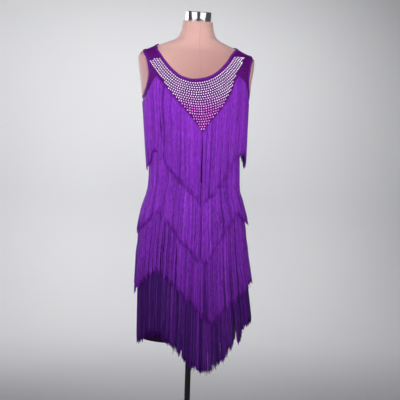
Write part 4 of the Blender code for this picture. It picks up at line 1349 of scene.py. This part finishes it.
STONE = {"radius": 2.2 * MM, "table": 1.15 * MM, "girdle": 0.40 * MM, "crown": 1.20 * MM}
STONE_PITCH = ((0.0, 7.7), (20.0, 7.6), (60.0, 6.9))
STONE_ROWS = 23
BAND_TURN = 71.0
FIRST_ROW = ((-BAND_TURN, 11.0), (-30.0, 12.5), (-4.0, 14.5), (30.0, 12.5), (BAND_TURN, 14.5))
# Rows from the neckline down, at places round it: a band on the straps, and then the point.
ROWS_DOWN = ((0.0, 30.0), (37.0, 30.0), (43.0, 10.0), (50.0, 8.0), (57.0, 7.0), (62.0, 6.0))
# The lowest stones of the straps, as turn and height.
BAND_FOOT = (
    (-72.0, 1.333), (-66.0, 1.308), (-62.0, 1.291), (-56.0, 1.274), (-48.0, 1.244), (-40.0, 1.090),
    (42.0, 1.090), (50.0, 1.284), (56.0, 1.305), (61.0, 1.326), (66.0, 1.346), (71.0, 1.363),
)
BAND_TOP_RIGHT, BAND_TOP_LEFT, BAND_TOP_STEP = 1.3435, 1.3610, 2.6 * MM
SEAM_MARGIN = 3.6 * MM
FOOT_MARGIN = 1.5 * MM
# The rose colour comes in between two heights, unevenly, and strays a little above them.
ROSE = {"from": 1.238, "to": 1.178, "uneven": (0.5, 1.2), "stray": 0.12}
GLUE = 0.05 * MM
STONE_TILT = 0.10


def crystal():
    """Foil-backed cut glass, clear to rose: its facets throw back light from all round."""
    made, tree, shader = start_material(
        "cut_glass_stones", Roughness=0.10, Metallic=0.12, Coat_Weight=1.0, Coat_Roughness=0.02
    )
    tint = ramp(tree, "rose", (0.97, 0.88, 1.0), 0.5, (1.0, 0.64, 1.0), (1.0, 0.24, 0.92))
    feed(tree, shader, {"Base Color": tint})
    return made


def stone_template():
    """An eight-sided flat-backed stone: girdle, sloping crown and a flat table."""
    bm = bmesh.new()
    bmesh.ops.create_circle(bm, cap_ends=True, segments=8, radius=STONE["radius"])
    bm.normal_update()
    side = bmesh.ops.extrude_face_region(bm, geom=bm.faces[:])
    bmesh.ops.translate(bm, verts=picked(side, bmesh.types.BMVert), vec=(0, 0, STONE["girdle"]))
    crown = bmesh.ops.extrude_face_region(bm, geom=picked(side, bmesh.types.BMFace))
    top = picked(crown, bmesh.types.BMVert)
    grow = STONE["table"] / STONE["radius"]
    bmesh.ops.scale(bm, verts=top, vec=(grow, grow, 1.0))
    bmesh.ops.translate(bm, verts=top, vec=(0, 0, STONE["crown"]))
    half_a_side = Matrix.Rotation(math.radians(22.5), 3, "Z")
    bmesh.ops.rotate(bm, verts=top, cent=(0, 0, 0), matrix=half_a_side)
    bmesh.ops.recalc_face_normals(bm, faces=bm.faces)
    return bm


def lowered(turn, height, distance):
    """The line a distance below a line of places on the figure, square to it."""
    here = figure(turn, height)
    along = np.gradient(here, axis=0)
    down = np.cross(along, outward(turn, height))
    down *= -np.sign(down[:, 2:]) / np.linalg.norm(down, axis=1, keepdims=True)
    angle = np.radians(turn)
    round_it = down[:, 0] * np.cos(angle) + down[:, 1] * np.sin(angle)
    new_turn = turn + np.degrees(distance * round_it / figure_radius(turn, height))
    return new_turn, height + distance * down[:, 2]


def between(table, x):
    """Values on straight lines through a table's rows, at each x."""
    return np.interp(x, *np.array(table).T)


def stone_rows():
    """Turn and height of every stone."""
    turn = np.linspace(-BAND_TURN, BAND_TURN, 301)
    height = neck_height(turn)
    first = smooth_table(FIRST_ROW, turn)[..., 0] * MM
    steps = 4
    for _ in range(steps):
        turn, height = lowered(turn, height, first / steps)
    stones = []
    start = turn
    for row in range(STONE_ROWS):
        pitch = between(STONE_PITCH, np.abs(turn)) * MM
        lengths = np.linalg.norm(np.diff(figure(turn, height), axis=0), axis=1)
        run = np.concatenate([[0.0], np.cumsum(lengths / pitch[1:])])
        count = int(run[-1])
        at = (np.arange(count + 1) + (0.0 if row % 2 else 0.5)) * run[-1] / (count + 0.5)
        at = at[at <= run[-1]]
        turns, heights, starts = (np.interp(at, run, line) for line in (turn, height, start))
        seam, _ = seam_and_ends(TIERS[0], turns)
        kept = heights > np.maximum(seam + SEAM_MARGIN, between(BAND_FOOT, turns) - FOOT_MARGIN)
        kept &= row < between(ROWS_DOWN, np.abs(starts))
        kept &= heights < np.where(turns < 0, BAND_TOP_RIGHT - row * BAND_TOP_STEP, BAND_TOP_LEFT)
        stones += list(zip(turns[kept], heights[kept]))
        turn, height = lowered(turn, height, pitch)
    return np.array(stones).T


stone_turns, stone_heights = stone_rows()
draw = np.random.default_rng(7)
count = len(stone_turns)
lines = creases(stone_turns, stone_heights, FRONT_CREASES)
seats = moved_out(stone_turns, stone_heights, FORM_TO_CLOTH + CLOTH + GLUE + lines)
outs = unit(outward(stone_turns, stone_heights) + draw.normal(0.0, STONE_TILT, (count, 3)))
spin = draw.uniform(0.0, math.tau, count)
side = np.stack([np.cos(spin), np.sin(spin), 0.3 * np.sin(3 * spin)], axis=1)
side = unit(np.cross(side, outs))
template = stone_template()
shape = np.array([vert.co for vert in template.verts])
points = set_out(shape, seats, (side, np.cross(outs, side), outs))
stones = joined_copies("rhinestones", template, points, crystal(), sharp_degrees=10.0)
deep = np.clip((ROSE["from"] - stone_heights) / (ROSE["from"] - ROSE["to"]), 0.0, 1.0)
rose = deep * draw.uniform(*ROSE["uneven"], count) + draw.uniform(0.0, ROSE["stray"], count)
mark(stones, "rose", np.repeat(np.clip(rose, 0.0, 1.0), len(shape)))
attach(stones, "root")


# --- Studio ---
# A plain pale sweep. A soft box and a tall reflection card stand on each side of the camera, a
# fill above it, one light behind to the left, and one over the sweep.

FLOOR = {"half_width": 4.0, "front": -4.0, "back": 2.2, "height": 3.6, "radius": 0.9}
# Each light's azimuth, distance, height, size, watts, aim and spread in degrees.
LIGHTS = {
    "key_left": (-50.0, 1.7, 1.45, (1.6, 1.3), 4.0, (0.0, 0.0, 1.42), 63.0),
    "key_right": (31.0, 1.7, 1.45, (1.75, 1.3), 3.5, (0.0, 0.0, 1.42), 63.0),
    "back_left": (-142.0, 2.1, 1.60, (1.9, 1.1), 6.5, (0.0, 0.0, 1.35), 90.0),
    "front_fill": (-10.0, 2.7, 1.25, (1.2, 1.2), 5.0, (0.0, 0.0, 1.25), 45.0),
    "card_left": (-50.0, 1.7, 1.30, (1.6, 2.2), 13.0, (0.0, 0.0, 1.30), 180.0),
    "card_right": (31.0, 1.7, 1.30, (1.75, 2.2), 13.0, (0.0, 0.0, 1.30), 180.0),
    "sweep_light": (180.0, 1.1, 3.3, (4.0, 0.8), 30.0, (0.0, 2.9, 0.9), 100.0),
}
# These light the surfaces and don't mirror in them, and the cards only mirror.
ONLY_DIFFUSE = ("key_left", "key_right", "front_fill")
ONLY_GLOSSY = ("card_left", "card_right")


def sweep_paint():
    """Matt pale paint, very faintly mottled."""
    made, tree, shader = start_material("pale_sweep", Roughness=0.85)
    mottle = noise(tree, on_object(tree), 1.5, 3.0)
    tint = mixed(tree, mottle, (0.78, 0.78, 0.80, 1.0), (0.82, 0.82, 0.835, 1.0))
    feed(tree, shader, {"Base Color": tint})
    return made


bend = [
    (FLOOR["back"] + FLOOR["radius"] * math.sin(a), FLOOR["radius"] * (1 - math.cos(a)))
    for a in np.linspace(0.0, math.pi / 2, 13)
]
bm = bmesh.new()
profile = [(FLOOR["front"], 0.0), *bend, (FLOOR["back"] + FLOOR["radius"], FLOOR["height"])]
points = [bm.verts.new((-FLOOR["half_width"], y, z)) for y, z in profile]
edges = [bm.edges.new(pair) for pair in zip(points, points[1:])]
wide = bmesh.ops.extrude_edge_only(bm, edges=edges)
far_side = picked(wide, bmesh.types.BMVert)
bmesh.ops.translate(bm, verts=far_side, vec=(2 * FLOOR["half_width"], 0, 0))
bmesh.ops.recalc_face_normals(bm, faces=bm.faces)
if sum(face.normal.z for face in bm.faces) < 0:
    bmesh.ops.reverse_faces(bm, faces=bm.faces)
sweep = finished("studio_sweep", bm, sweep_paint())

bpy.context.scene.view_settings.view_transform = "Standard"
world = bpy.data.worlds.new("studio")
bpy.context.scene.world = world
world.use_nodes = True
backdrop = world.node_tree.nodes["Background"]
feed(world.node_tree, backdrop, {"Color": (0.8, 0.82, 0.9, 1.0), "Strength": 0.10})

CAMERA = {"distance": 2.4, "azimuth": -10.0, "height": 0.9, "roll": 1.65, "shift": 0.018}
FOCAL_PIXELS = 738.0
IMAGE_PIXELS = 400.0
SENSOR = 36.0


def towards(azimuth):
    """Level direction from the pole's axis: 0 is to the front, minus is to the wearer's right."""
    angle = math.radians(azimuth)
    return Vector((math.sin(angle), -math.cos(angle), 0.0))


def soft_box(name, azimuth, distance, height, size, watts, aim, spread):
    """A soft box, with a honeycomb grid where its light is kept within a narrower spread."""
    lamp = bpy.data.lights.new(name, "AREA")
    lamp.shape = "RECTANGLE"
    lamp.size, lamp.size_y = size
    lamp.energy = watts
    lamp.spread = math.radians(spread)
    box = bpy.data.objects.new(name, lamp)
    bpy.context.scene.collection.objects.link(box)
    box.location = towards(azimuth) * distance + Vector((0, 0, height))
    box.rotation_euler = (Vector(aim) - box.location).to_track_quat("-Z", "Y").to_euler()
    box.visible_camera = False
    return box


for name, values in LIGHTS.items():
    box = soft_box(name, *values)
    box.visible_glossy = name not in ONLY_DIFFUSE
    box.visible_diffuse = name not in ONLY_GLOSSY

lens = bpy.data.cameras.new("camera")
lens.sensor_fit = "HORIZONTAL"
lens.sensor_width = SENSOR
lens.lens = FOCAL_PIXELS / IMAGE_PIXELS * SENSOR
lens.shift_x = CAMERA["shift"]
camera = bpy.data.objects.new("camera", lens)
bpy.context.scene.collection.objects.link(camera)
forward = -towards(CAMERA["azimuth"])
right = forward.cross(Vector((0, 0, 1)))
roll = math.radians(CAMERA["roll"])
up = Vector((0, 0, 1)) * math.cos(roll) - right * math.sin(roll)
right = forward.cross(up)
facing = Matrix((right, up, -forward)).transposed().to_4x4()
facing.translation = -forward * CAMERA["distance"] + Vector((0, 0, CAMERA["height"]))
camera.matrix_world = facing
bpy.context.scene.camera = camera
